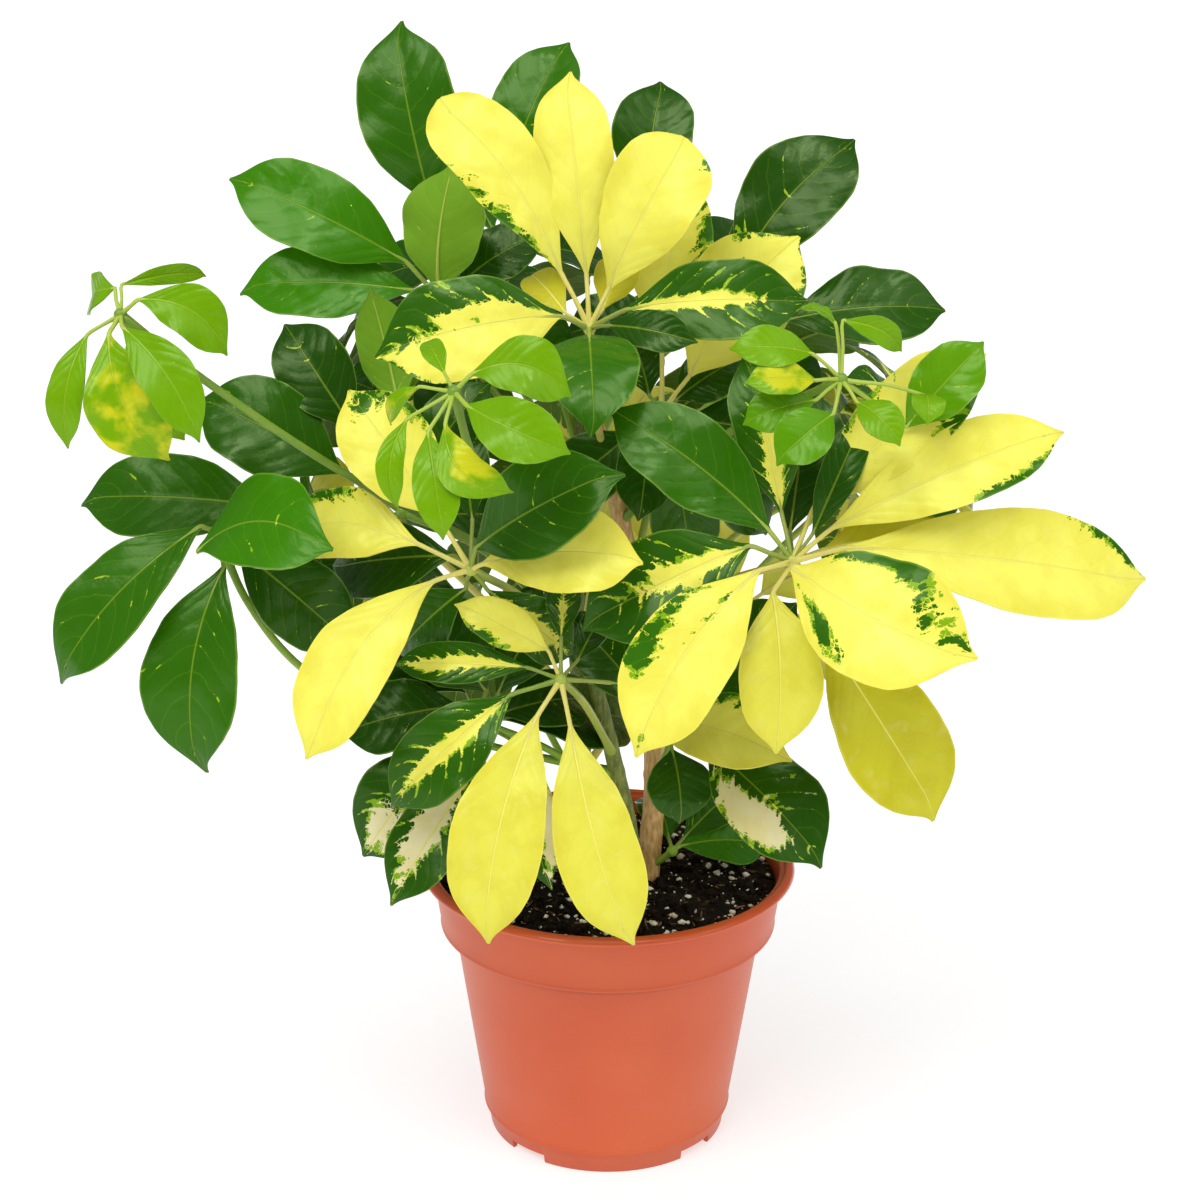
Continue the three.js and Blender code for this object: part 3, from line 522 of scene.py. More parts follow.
# a leaf: its hub, its stem and the height where it leaves that, the points that its petiole passes, the
# way it faces, and its leaflets; places are in mm
# a leaflet: its look, its foot and its tip from the hub, its width and bow, then its sway, its roll in
# degrees and its widest place in hundredths where they are not 0, 0 and 52, and patches that shift its
# greenness: their place and reach along and across the blade, and how much
frontLeaves = {
    "leaf_crown": ((-7, -45, 297), "main", 246, [(-6, -32, 272)], (0, -0.85, 0.5), [
        ("gold", (-9, 4, 17), (-47, 14, 67), 26, 7, 3, 0, 66, [(0.35, -1, 0.35, 0.45, 1.56)]),
        ("yellow", (-1, 6, 16), (-8, 22, 75), 24, 7, 0, 0, 60),
        ("gold", (6, 3, 12), (29, 6, 57), 30, 6, 0, 0, 68, [(0.93, 0.9, 0.06, 0.4, 1.16)]),
        ("splashed", (-9, -6, 5), (-64, -20, -4), 33, 6, [(0.08, -0.2, 0.3, 0.6, -2.29),
            (0.4, -0.55, 0.32, 0.48, -2.46), (0.72, -0.5, 0.25, 0.42, -2.29), (0.3, 0.3, 0.2, 0.14, -1.41),
            (0.55, 0.25, 0.16, 0.1, -1.32)]),
        ("splashed", (11, -6, 7), (66, -8, 10), 26, 5, [(0.12, 0, 0.14, 0.22, -1.85),
            (0.34, -0.02, 0.25, 0.18, -2.02), (0.58, -0.03, 0.16, 0.12, -1.76)]),
        ("deep", (6, -10, 3), (32, -20, 0), 13, 3),
        ("mid", (0, -10, 0), (2, -42, -23), 29, 6, 0, 0, 38),
        ("dull", (-7, -2, 5), (-19, 20, 13), 12, 3),
        ("dull", (4, 5, 5), (11, 26, 16), 14, 3),
    ]),
    "leaf_upper_left": ((-56, 5, 296), "back", 212, [(-30, 24, 262)], (-0.2, -0.8, 0.55), [
        ("bright", (-9, 0, 3), (-66, 5, 3), 26, 5),
        ("bright", (-11, 2, 12), (-69, 12, 38), 29, 6),
        ("mid", (-3, 10, 29), (-15, 28, 86), 33, 7, 0, 0, 48),
        ("olive", (0, -6, 4), (5, -4, 44), 28, -5, 0, 180, 52),
        ("olive", (-4, -6, -1), (-19, -18, -29), 16, 3, 0, 180, 52),
        # inside the plant
        ("deep", (6, 2, 4), (33, 8, 20), 20, 4),
        ("deep", (3, 0, -10), (4, 6, -50), 24, 5),
        ("green", (9, 2, -4), (44, 12, -22), 24, 5),
    ]),
    "leaf_top": ((-38, 45, 304), "back", 236, [(-24, 44, 275)], (0, -0.5, 0.8), [
        ("mid", (2, 10, 22), (23, 26, 69), 29, 6),
        ("deep", (0, -8, -1), (8, -30, -20), 23, 4),
        ("deep", (7, 7, 1), (40, 28, -12), 23, 4),
        ("mid", (-3, 14, 6), (-22, 52, 24), 27, 4),
        ("deep", (-12, -2, -2), (-50, 4, -14), 24, 4),
    ]),
    "leaf_upper_right": ((26, 10, 285), "back", 226, [(6, 26, 262)], (0.1, -0.75, 0.65), [
        ("deep", (-14, 12, 39), (-9, 30, 78), 27, 6, -2),
        ("deep", (15, 4, 18), (55, 20, 60), 32, 6, -3, [(0.12, -0.5, 0.1, 0.4, -1.29)]),
        ("deep", (32, 4, 3), (85, 8, 6), 29, 5),
        ("deep", (4, 12, 4), (17, 52, 29), 27, 5),
        ("deep", (10, -2, -5), (33, -12, -21), 23, 5),
        # inside the plant
        ("deep", (-8, 2, 0), (-42, 10, -4), 25, 5),
        ("deep", (9, 0, -4), (46, 4, -26), 25, 5),
    ]),
    "leaf_behind_crown": ((16, -22, 265), "main", 205, [(14, -12, 240)], (0.1, -0.8, 0.6), [
        ("gold", (0, 3, 22), (4, 14, 78), 26, 5, [(0.5, 0.95, 0.45, 0.5, 1.56)]),
        ("gold", (9, -2, 13), (42, -2, 57), 35, 6, -2, 0, 56, [(1.02, 0, 0.07, 0.8, 1.36),
            (0.75, 1, 0.3, 0.25, 1.56), (0.85, -0.95, 0.16, 0.3, 1.36), (0.66, -0.35, 0.07, 0.18, 1.29),
            (0.5, 0.5, 0.08, 0.16, 1.16)]),
        ("deep", (-4, 4, 5), (-10, 16, 22), 16, 3),
        ("deep", (-4, -6, -1), (-7, -20, -30), 19, 4),
        ("deep", (5, 2, 4), (24, 6, 16), 18, 3),
        # inside the plant
        ("deep", (8, 0, -2), (48, 6, -14), 24, 5),
        ("deep", (-8, 0, -6), (-36, 4, -34), 24, 5),
        ("green", (2, 0, -10), (10, 8, -54), 24, 5),
        ("deep", (7, 0, -8), (36, 8, -42), 24, 5),
    ]),
    "leaf_young_right": ((67, -82, 290), "main", 226, [(34, -42, 262)], (0.1, -0.8, 0.6), [
        ("young", (-9, -2, 8), (-33, -6, 10), 13, 3),
        ("young", (0, 2, 17), (18, 6, 7), 8, 3, -3, 35, 52),
        ("young", (-2, 4, 16), (-13, 8, 19), 8, 2, 0, 45, 52),
        ("youngGold", (-8, -6, 1), (-29, -13, 2), 11, 2),
        ("fresh", (-8, -6, -5), (-29, -10, -11), 14, 3),
        ("fresh", (-3, -10, -8), (-20, -20, -20), 16, 3),
        ("young", (4, -8, -5), (16, -18, -15), 12, 3),
        ("young", (24, -3, -4), (24, -14, -10), 10, 3),
        ("fresh", (20, 3, -15), (42, 6, 10), 19, 3),
    ]),
    "leaf_young_far_left": ((-143, -82, 308), "left", 200,
        [(-35, -40, 222), (-81, -62, 255), (-119, -81, 288)], (-0.1, -0.85, 0.5), [
        ("young", (-9, -4, -5), (-15, -12, -37), 11, 4, 2),
        ("youngGold", (-2, -8, -4), (14, -14, -40), 22, 5, 4, [(0.5, 0.4, 0.3, 0.3, 0.34)]),
        ("young", (2, -8, -2), (25, -22, -32), 16, 4, -3),
        ("young", (6, -3, 5), (31, -4, -11), 16, 4, -5),
        ("young", (0, 4, 8), (22, 22, 8), 6, 3, -2, 40, 52),
        ("young", (-2, 4, 7), (-11, 18, 0), 13, 3),
        ("youngGold", (1, 4, -5), (14, 12, -41), 15, 4),
    ]),
    "leaf_young_centre": ((-45, -105, 291), "left", 212,
        [(-32, -62, 245), (-41, -88, 268)], (0, -0.85, 0.5), [
        ("young", (-3, 6, 4), (-9, 22, 10), 7, 2),
        ("youngGold", (-10, 2, 1), (-19, 6, -11), 7, 3, 0, 30, 52),
        ("young", (-13, -4, -7), (-16, -12, -31), 8, 3, 3),
        ("young", (-7, -8, -10), (-2, -22, -37), 13, 4),
        ("youngGold", (-2, -8, -7), (17, -16, -25), 13, 4, 7),
        ("young", (4, -8, -2), (33, -18, -13), 18, 5, 2),
        ("young", (5, 0, 5), (33, -2, -1), 18, 4, -5),
    ]),
    "leaf_middle_left": ((-42, -85, 232), "left", 175, [(-26, -55, 212)], (-0.05, -0.85, 0.5), [
        ("gold", (-16, 6, 6), (-60, 29, 1), 23, 5, 4, [(0.62, 1, 0.33, 0.5, 1.56)]),
        ("gold", (-10, 8, 14), (-38, 24, 49), 27, 5, [(0.88, 0.35, 0.14, 0.9, 1.5),
            (0.6, 0.95, 0.2, 0.3, 1.43)]),
        ("yellow", (-11, -6, -2), (-46, -32, -49), 25, 7, 5, 0, 60),
        ("yellow", (4, -4, 3), (51, -18, 9), 26, 5, -2, 0, 60),
        ("green", (2, -4, 8), (44, -22, 37), 29, 6),
        ("deep", (0, 12, 12), (-4, 30, 39), 15, 3),
        # inside the plant
        ("splashed", (5, 4, -8), (30, 18, -34), 18, 4, [(0.4, 0, 0.4, 0.3, -2.1)]),
        ("deep", (-2, 6, -8), (-24, 20, -34), 20, 4),
        ("deep", (-6, 14, 0), (-46, 38, -12), 25, 4),
    ]),
    "leaf_back_left": ((-67, -30, 234), "left", 188, [(-40, -28, 220)], (-0.2, -0.8, 0.6), [
        ("green", (-19, 0, 13), (-65, 10, 35), 31, 6),
        ("deep", (-15, 4, 26), (-38, 20, 57), 24, 5),
        ("olive", (-1, 8, 33), (-10, 16, 69), 19, 3, 0, 180, 46),
        ("deep", (-7, -6, -8), (-22, -14, -22), 19, 4),
        # inside the plant
        ("deep", (6, 4, 10), (28, 12, 40), 22, 4),
        ("deep", (8, 2, -2), (44, 10, -6), 22, 4),
        ("deep", (3, -2, -10), (12, 6, -48), 22, 4),
        ("deep", (-8, 6, -6), (-42, 26, -28), 24, 5),
    ]),
    "leaf_left": ((-120, -70, 239), "left", 140,
        [(-50, -28, 156), (-95, -56, 188), (-112, -66, 215)], (-0.2, -0.8, 0.6), [
        ("green", (16, 6, 6), (-45, 18, 5), 28, 5),
        ("bright", (-4, -11, -3), (38, -34, 4), 30, 4, -8, 0, 56),
        ("mid", (-4, -5, 3), (-48, -16, -43), 27, 7, 1),
        ("mid", (3, -8, -9), (-5, -24, -69), 31, 7, 3),
        ("deep", (6, 0, -5), (39, 6, -38), 26, 5),
    ]),
    "leaf_big_right": ((54, -85, 235), "main", 172, [(32, -42, 212)], (0.05, -0.85, 0.5), [
        ("mid", (-7, 2, 9), (-55, 14, 43), 27, 6, 1),
        ("splashed", (-3, 8, 13), (-14, 26, 57), 20, 5, [(0.15, 0, 0.28, 0.4, -2.11),
            (0.4, 0.05, 0.15, 0.2, -1.67)]),
        ("gold", (7, 8, 15), (57, 22, 60), 26, 6, 0, 0, 56, [(0.7, 0.95, 0.3, 0.4, 1.56),
            (0.9, -0.5, 0.12, 0.5, 1.5), (0.45, -0.95, 0.2, 0.3, 1.36)]),
        ("gold", (12, 2, 10), (81, 12, 38), 24, 6, -1, 0, 58, [(0.8, 0.95, 0.2, 0.32, 1.63),
            (0.6, 1.05, 0.12, 0.2, 1.36)]),
        ("gold", (16, -2, 5), (112, 23, -14), 33, 8, 0, 0, 60, [(0.8, -0.98, 0.14, 0.26, 1.56),
            (0.92, -0.8, 0.05, 0.3, 1.36)]),
        ("gold", (-1, -13, 2), (49, -41, -17), 39, 6, 4, [(0.2, 0.52, 0.06, 0.17, 1.36),
            (0.3, 0.6, 0.08, 0.2, 1.84), (0.38, 0.7, 0.07, 0.18, 1.5), (0.47, 0.82, 0.06, 0.12, 1.09),
            (0.1, 0.62, 0.05, 0.22, 1.02), (0.15, -0.08, 0.025, 0.1, 1.5), (0.38, -0.98, 0.26, 0.2, 2.04),
            (0.56, -0.8, 0.1, 0.25, 1.63), (0.66, -0.5, 0.04, 0.3, 1.5), (0.73, -0.35, 0.04, 0.34, 1.5),
            (0.83, -0.4, 0.05, 0.5, 1.63), (0.93, -0.6, 0.05, 0.4, 1.36)]),
        ("soft", (-6, -6, -8), (-5, -24, -52), 25, 6, -1),
        ("gold", (-11, -10, 0), (-47, -34, -49), 30, 7, 4, 0, 56, [(0.5, 0.78, 0.13, 0.3, 1.63),
            (0.65, 0.75, 0.07, 0.35, 1.56), (0.28, 0.9, 0.12, 0.22, 1.43), (0.3, 0.05, 0.07, 0.12, 1.29),
            (0.18, 0.14, 0.05, 0.14, 1.22), (0.43, 0.1, 0.08, 0.07, 1.16), (0.57, -0.22, 0.08, 0.06, 1.09),
            (0.92, 0.05, 0.05, 0.3, 1.36)]),
        ("splashed", (-13, -4, 6), (-63, -8, -18), 30, 6, [(0.1, 0, 0.14, 0.28, -2.02),
            (0.36, 0.02, 0.24, 0.2, -2.11), (0.36, -0.32, 0.05, 0.28, -1.58),
            (0.5, 0.25, 0.05, 0.2, -1.5)]),
        ("dull", (11, 4, -25), (47, -6, -80), 33, 6, 1, 0, 56),
        # inside the plant
        ("deep", (6, 2, 8), (22, 16, 42), 12, 4),
        ("dull", (10, 6, 2), (52, 26, 2), 22, 4),
        ("deep", (0, 12, 6), (6, 34, 46), 27, 4),
    ]),
    "leaf_bottom_centre": ((-15, -90, 199), "left", 148, [(-8, -55, 178)], (0, -0.85, 0.5), [
        ("soft", (-7, -8, -9), (-22, -32, -72), 28, 8, 3, 0, 56),
        ("soft", (3, -8, -12), (21, -30, -74), 25, 8, 2, 0, 56),
        ("splashed", (-15, 0, -5), (-52, -4, -40), 24, 6, [(0.3, 0, 0.4, 0.22, -2.02),
            (0.6, 0.1, 0.2, 0.15, -1.67)]),
        ("splashed", (-10, 2, 3), (-51, 8, 2), 13, 4, [(0.3, 0.1, 0.4, 0.3, -2.02),
            (0.7, -0.2, 0.2, 0.25, -1.76)]),
        ("gold", (-4, 4, 8), (-32, 9, 21), 14, 4, 0, 0, 46, [(0.6, -0.95, 0.4, 0.4, 1.5)]),
        ("splashed", (0, 6, 11), (1, 26, 23), 11, 3, [(0.3, 0, 0.3, 0.3, -1.76)]),
        ("deep", (5, 6, 4), (13, 24, 13), 10, 3),
        ("deep", (15, 0, -1), (39, 4, -8), 18, 4),
    ]),
    "leaf_low_left": ((-42, -50, 170), "left", 126, [(-18, -32, 152)], (-0.1, -0.8, 0.6), [
        ("deep", (-6, 0, 5), (-44, -4, -3), 24, 5),
        ("deep", (2, 4, 9), (-20, 14, 36), 29, 5),
        ("creamGreen", (-6, -4, -7), (-37, -12, -42), 30, 6, [(0.4, -0.5, 0.4, 0.35, -2.11),
            (0.75, 0.1, 0.15, 0.3, -1.85)]),
        ("creamGreen", (2, -10, -10), (-26, -34, -49), 23, 6, [(0.5, 0.2, 0.35, 0.4, -2.02)]),
        ("creamGreen", (13, -8, -5), (23, -34, -43), 16, 5, [(0.5, -0.6, 0.5, 0.45, -2.02)]),
        # inside the plant
        ("deep", (6, 4, 8), (28, 18, 42), 24, 5),
        ("deep", (6, 6, 0), (34, 34, -6), 22, 5),
        ("deep", (8, 8, -2), (50, 58, -22), 28, 5),
        ("deep", (-4, 6, 8), (-40, 22, 28), 26, 5),
    ]),
    "leaf_low_right": ((19, -50, 167), "main", 130, [(20, -25, 152)], (0.1, -0.8, 0.6), [
        ("deep", (1, -4, -5), (4, -16, -25), 21, 5),
        ("creamGreen", (12, -8, -2), (48, -34, -31), 31, 6, [(0.45, 0.62, 0.22, 0.35, -2.02),
            (0.62, 0.45, 0.16, 0.28, -1.94)]),
        ("yellow", (-5, -8, 6), (36, -35, 4), 24, 5, -2, [(0.35, -0.95, 0.3, 0.5, 1.63),
            (0.7, -0.95, 0.2, 0.35, 1.5)]),
        ("deep", (-2, 6, 3), (-9, 18, 18), 16, 4),
        # inside the plant
        ("deep", (-6, 4, 6), (-34, 18, 34), 22, 5),
        ("deep", (8, 4, 8), (42, 22, 36), 25, 5),
        ("splashed", (9, 2, 1), (48, 14, 6), 23, 5, [(0.3, 0, 0.3, 0.25, -2)]),
    ]),
    "leaf_lowest_right": ((22, -12, 108), "main", 99, [(19, -9, 104)], (0.2, -0.6, 0.8), [
        ("mid", (3, 2, 1), (32, 14, -4), 20, 4),
        ("mid", (-1, 8, 1), (-7, 30, 7), 18, 4),
        # inside the plant
        ("deep", (4, 4, 3), (26, 28, 14), 17, 4),
    ]),
}

# leaves of the back and the sides, whose leaflets stand evenly round the hub
backLeaves = {
    "leaf_rear_top_left": (
        (-50, 81, 258), "back", 200, [(-28, 58, 234)], (-0.35, 0.75, 0.55),
        {"count": 6, "length": 46, "width": 26, "turn": 10, "looks": "green"}),
    "leaf_rear_top_right": (
        (50, 79, 256), "back", 188, [(14, 58, 228)], (0.35, 0.8, 0.5),
        {"count": 6, "length": 46, "width": 26, "turn": 30, "looks": "mixed"}),
    "leaf_rear_middle": (
        (0, 103.5, 208), "back", 158, [(-5, 66, 190)], (0, 0.85, 0.5),
        {"count": 7, "length": 46, "width": 25, "turn": 0, "looks": "yellow"}),
    "leaf_rear_left": (
        (-80, 50, 212), "back", 146, [(-44, 42, 180)], (-0.65, 0.6, 0.45),
        {"count": 6, "length": 45, "width": 26, "turn": 20, "looks": "mixed"}),
    "leaf_rear_right": (
        (84, 48, 222), "main", 152, [(48, 28, 192)], (0.7, 0.5, 0.5),
        {"count": 6, "length": 44, "width": 25, "turn": 5, "looks": "mixed"}),
    "leaf_side_left": (
        (-92, 22, 258), "left", 208, [(-54, -4, 244)], (-0.85, 0.25, 0.5),
        {"count": 5, "length": 38, "width": 23, "turn": 0, "looks": "green"}),
    "leaf_side_right": (
        (99, -20, 247), "main", 190, [(56, -8, 230)], (0.85, -0.05, 0.5),
        {"count": 6, "length": 40, "width": 23, "turn": 0, "looks": "mixed"}),
    "leaf_rear_low_right": (
        (48, 78, 165), "back", 122, [(16, 54, 146)], (0.5, 0.75, 0.4),
        {"count": 6, "length": 42, "width": 25, "turn": 25, "looks": "yellow"}),
    "leaf_rear_low_left": (
        (-46, 80, 160), "back", 112, [(-28, 54, 138)], (-0.45, 0.75, 0.4),
        {"count": 6, "length": 42, "width": 25, "turn": 15, "looks": "green"}),
}

evenLeafValues = {
    "seed": 11, "stalk": 12, "rise": 25, "droop": 14, "scatter": 0.24, "angleScatter": 14,
    "rollScatter": 20, "bow": 5, "widest": 54,
}

# the smaller leaflets behind the gaps between those; a pair of numbers is a span to draw from
betweenValues = {
    "stalk": 10, "rise": 1.5, "turn": (0.4, 0.6), "length": (0.6, 0.75), "droop": (12, 18), "width": 0.7,
    "bow": 3, "roll": (-12, 12), "widest": 52,
}


def evenDraws(start):
    state = start
    while True:
        state = (state * 1664525 + 1013904223) % 4294967296
        yield state / 4294967296


def evenLooks(looks, draws):
    # a look and patches for a leaflet of a leaf that is green, yellow or mixed
    pick = draws.random()
    side = draws.choice((-1, 1))
    if looks == "green" or (looks == "mixed" and pick < 0.35):
        return draws.choice(("deep", "deep", "green", "mid")), []
    if looks == "yellow" and pick < 0.45:
        return "yellow", []
    if pick < 0.72:
        return "gold", [(draws.uniform(0.25, 0.8), side * draws.uniform(0.8, 1.0), draws.uniform(0.15, 0.35),
                         draws.uniform(0.3, 0.5), 1.6) for k in range(2)]
    return "splashed", [(draws.uniform(0.15, 0.35), 0.0, 0.3, 0.25, -2.0),
                        (draws.uniform(0.4, 0.7), draws.uniform(-0.3, 0.3), 0.15, 0.25, -1.8)]


def leafDirections(facing, degrees):
    # the way that a leaf faces, and the way out from its hub at an angle round that
    axis = Vector(facing).normalized()
    side = Vector((0, 0, 1)).cross(axis).normalized()
    angle = math.radians(degrees)
    return axis, side * math.cos(angle) + axis.cross(side) * math.sin(angle)


def evenLeaflets(facing, leaf, scatter, draws, values):
    lift = math.radians(values["rise"])
    droop = math.radians(values["droop"])
    rows = []
    for i in range(leaf["count"]):
        turn = leaf["turn"] + i * 360 / leaf["count"] + (next(scatter) - 0.5) * values["angleScatter"]
        axis, out = leafDirections(facing, turn)
        length = leaf["length"] * (1 + (next(scatter) - 0.5) * values["scatter"])
        foot = out * (values["stalk"] * math.cos(lift)) + axis * (values["stalk"] * math.sin(lift))
        tip = foot + out * (length * math.cos(droop)) - axis * (length * math.sin(droop))
        roll = (next(scatter) - 0.5) * values["rollScatter"]
        kind, patches = evenLooks(leaf["looks"], draws)
        rows.append((kind, foot, tip, leaf["width"], values["bow"], 0, roll, values["widest"], patches))
    return rows


def betweenLeaflets(facing, leaf, draws, values):
    rows = []
    for i in range(0, leaf["count"], 2):
        turn = leaf["turn"] + (i + draws.uniform(*values["turn"])) * 360 / leaf["count"]
        axis, out = leafDirections(facing, turn)
        foot = out * values["stalk"] + axis * values["rise"]
        tip = foot + out * leaf["length"] * draws.uniform(*values["length"])
        tip -= axis * draws.uniform(*values["droop"])
        kind, patches = evenLooks(leaf["looks"], draws)
        rows.append((kind, foot, tip, leaf["width"] * values["width"], values["bow"], 0,
                     draws.uniform(*values["roll"]), values["widest"], patches))
    return rows


def makeBlades(name, hub, facing, rows, draws, values):
    # the blades as one piece with the leaf's name, and the lines and looks of their stalks
    made = [makeBlade(hub, facing, row, number, draws, values) for number, row in enumerate(rows)]
    piece = joinAll([blade for blade, tube, look in made], name)
    wall = piece.modifiers.new("thickness", "SOLIDIFY")
    wall.thickness = values["thickness"] * mm
    wall.offset = 0
    wall.material_offset = 1
    wall.use_rim = True
    bpy.ops.object.modifier_apply(modifier=wall.name)
    bpy.ops.object.shade_smooth_by_angle(angle=math.radians(values["smooth"]))
    return piece, [(tube, look) for blade, tube, look in made]


def makeKnob(hub, radius):
    bpy.ops.mesh.primitive_uv_sphere_add(segments=14, ring_count=9, radius=radius * mm, location=hub * mm)
    bpy.ops.object.transform_apply(location=True, rotation=False, scale=False)
    return bpy.context.object


def makeCompoundLeaf(name, place, rows, draws, values):
    hub, stemName, height, via, facing = place
    hub = Vector(hub)
    piece, leaflets = makeBlades(name, hub, Vector(facing), rows, draws, bladeValues)
    # petiole, with a swollen foot on its stem and a small knob where the leaflets meet
    line = smoothLine([pointOnStem(stemName, height), *via, hub], 10)
    radii = [np.interp(share, values["shares"], values["radii"]) for share in lineShares(line)]
    yellowShare = sum(look[0] < 0.5 for tube, look in leaflets) / len(leaflets)
    isYoung = leaflets[0][1][1] > 0.6
    petioleLook = (0.9 - 0.8 * yellowShare, 0.25 if isYoung else 0.5, 0)
    parts = [(makeTube(name + "Stalk", list(zip(line, radii))), petioleLook)]
    for tube, (green, age, tone) in leaflets:
        green = min(max(green, 0.0), 1.0) * 0.6 + 0.1 * (1 - yellowShare)
        parts.append((makeTube(name + "Stalk", tube), (green, age, 0)))
    parts.append((makeKnob(hub, values["knob"]), petioleLook))
    for part, look in parts:
        addAttributes(part.data, look)
        part.data.materials.append(stalkSkin)
        selectOnly(part)
        bpy.ops.object.shade_smooth()
    piece = joinAll([piece, *[part for part, look in parts]], name)
    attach(piece, "root")
    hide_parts(name)
    return piece


leafDraws = random.Random(bladeValues["seed"])
scatter = evenDraws(evenLeafValues["seed"])
for leafName, (*place, rows) in frontLeaves.items():
    makeCompoundLeaf(leafName, place, rows, leafDraws, petioleValues)
for leafName, (*place, leaf) in backLeaves.items():
    rows = evenLeaflets(place[-1], leaf, scatter, leafDraws, evenLeafValues)
    rows += betweenLeaflets(place[-1], leaf, leafDraws, betweenValues)
    makeCompoundLeaf(leafName, place, rows, leafDraws, petioleValues)
bpy.data.objects.remove(bladeBlank)
print("compound leaves made:", len(frontLeaves) + len(backLeaves))


barkValues = {
    "main": {"slot": "woody_stem", "tone": "#f4c98c", "dark": "#cf984f", "green": 0.2, "bumps": 0.35},
    "left": {"slot": "green_stem", "tone": "#8f9a3c", "dark": "#5f6a20", "green": 0.6, "bumps": 0.22},
    "back": {"slot": "green_stem", "tone": "#7f8440", "dark": "#4c4f22", "green": 0.55, "bumps": 0.22},
    "rings": (112, 121, 131, 141, 152, 163, 172, 184, 196, 206, 216, 226, 238, 250),
    "ringWidth": 1.1,
    "topFrom": 0.96,  # share of the length where the stem starts to narrow to its end
    "topNarrowing": 0.6,
    "knobbly": 0.35,  # mm
    "knobScale": 160,
}


def barkMaterial(name, values):
    made, where = startOnPiece(name)
    stretched = addNode("Mapping", {"Vector": where, "Scale": (1, 1, 0.18)}).outputs[0]
    streaks = grain(stretched, 900.0, 4.0, 0.6)
    blotches = grain(where, 130.0, 3.0)
    specks = cellPattern(where, 900.0)["Distance"]
    base = blend(step(streaks, 0.35, 0.65), values["dark"], values["tone"])
    base = blend(times(step(blotches, 0.45, 0.62), values["green"]), base, "#5f7a22")
    base = blend(step(specks, 0.12, 0.2, 0.5, 0.0), base, "#d8c79a")
    finishMaterial(base, scaled(streaks, 0.2, 0.5), bump(plus(streaks, times(specks, 0.4)), 0.6, 0.0006))
    return made


def makeStem(name, stem, values, shared):
    line = smoothLine(stem["points"], 18)
    foot, top = stem["radii"]
    topFrom = shared["topFrom"]
    tube = []
    for place, share in zip(line, lineShares(line)):
        radius = foot + (top - foot) * share
        for ring in shared["rings"]:
            radius += values["bumps"] * math.exp(-((place.z - ring) / shared["ringWidth"]) ** 2)
        if share > topFrom:
            radius *= 1 - shared["topNarrowing"] * (share - topFrom) / (1 - topFrom)
        tube.append((place, radius))
    piece = makeTube("stem_" + name, tube, 24)
    addAttributes(piece.data, (1, 0.3, 0))
    for vertex in piece.data.vertices:
        at = vertex.co * shared["knobScale"]
        lump = noise.noise(Vector((at.x, at.y, at.z * 0.4)))
        vertex.co += vertex.normal * (lump * shared["knobbly"] * mm)
    piece.data.materials.append(barkMaterial(name + "Bark", values))
    selectOnly(piece)
    bpy.ops.object.shade_smooth()
    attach(piece, "root")
    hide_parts("stem_" + name)


for stemName, stem in stemValues.items():
    makeStem(stemName, stem, barkValues[stemName], barkValues)
print("stems made")


potValues = {
    "segments": 144,
    "smooth": 42,  # degrees
    # radius and height in mm, from the middle of the floor's underside round to the middle of its top
    "profile": [
        (4, 3), (39.6, 3), (39.8, 2.8), (39.8, 0.4), (40.1, 0), (41.4, 0), (41.8, 0.4), (42.6, 6.9),
        (42.9, 7.4), (43.6, 7.7), (44, 7.9), (44.1, 8.3), (43.9, 8.8), (43.75, 9.2), (46, 24), (50.5, 54),
        (53.75, 76), (54.2, 77.1), (54.8, 77.5), (57.5, 77.4), (58.3, 77.5), (58.7, 77.8), (58.8, 78.2),
        (58.6, 78.8), (58.5, 79.2), (59.3, 84), (60.9, 95.6), (61.1, 97), (61.5, 97.35), (64.3, 97.3),
        (64.9, 97.5), (65.15, 97.9), (65.1, 98.3), (64.8, 98.9), (64.3, 99.4), (63.7, 99.75), (63, 100),
        (62.4, 99.95), (61.9, 99.5), (61.6, 98.7), (60.5, 98.4), (60, 98), (59.6, 96.9), (58.2, 88),
        (57.2, 81.3), (56.8, 80.5), (56, 80.1), (53.6, 79.8), (52.8, 79.3), (52.4, 78.2), (48.1, 48),
        (43, 14), (42.2, 8), (41.5, 6), (39.9, 4.7), (38, 4.5), (4, 4.5)],
    "notches": {"count": 4, "turn": -41.4, "width": 15, "height": 3.2, "circle": 83, "depth": 12},
    "drains": {"count": 5, "diameter": 8, "circle": 56, "height": 3, "depth": 12},
    "tone": "#c95124",
    "paleTone": "#d05c2d",
    "fineTone": "#b94a22",
    # painted shade: the colour of a darker band under the collar's overhang and of a lighter darkening of
    # the foot ring under the body's lower edge
    "paintedShadeTone": "#8a3312",
    "collarPaintedShade": (0.0735, 0.0762, 0.0777, 0.0773),  # heights in m where the painted shade under the collar darkens and ends
    "footPaintedShade": (0.0084, 0.0078),
    "polished": (0.0968, 0.0978),
}


def cutAway(piece, cutter):
    cut = piece.modifiers.new("cut", "BOOLEAN")
    cut.operation = "DIFFERENCE"
    cut.object = cutter
    cut.solver = "EXACT"
    selectOnly(piece)
    bpy.ops.object.modifier_apply(modifier=cut.name)
    bpy.data.objects.remove(cutter)


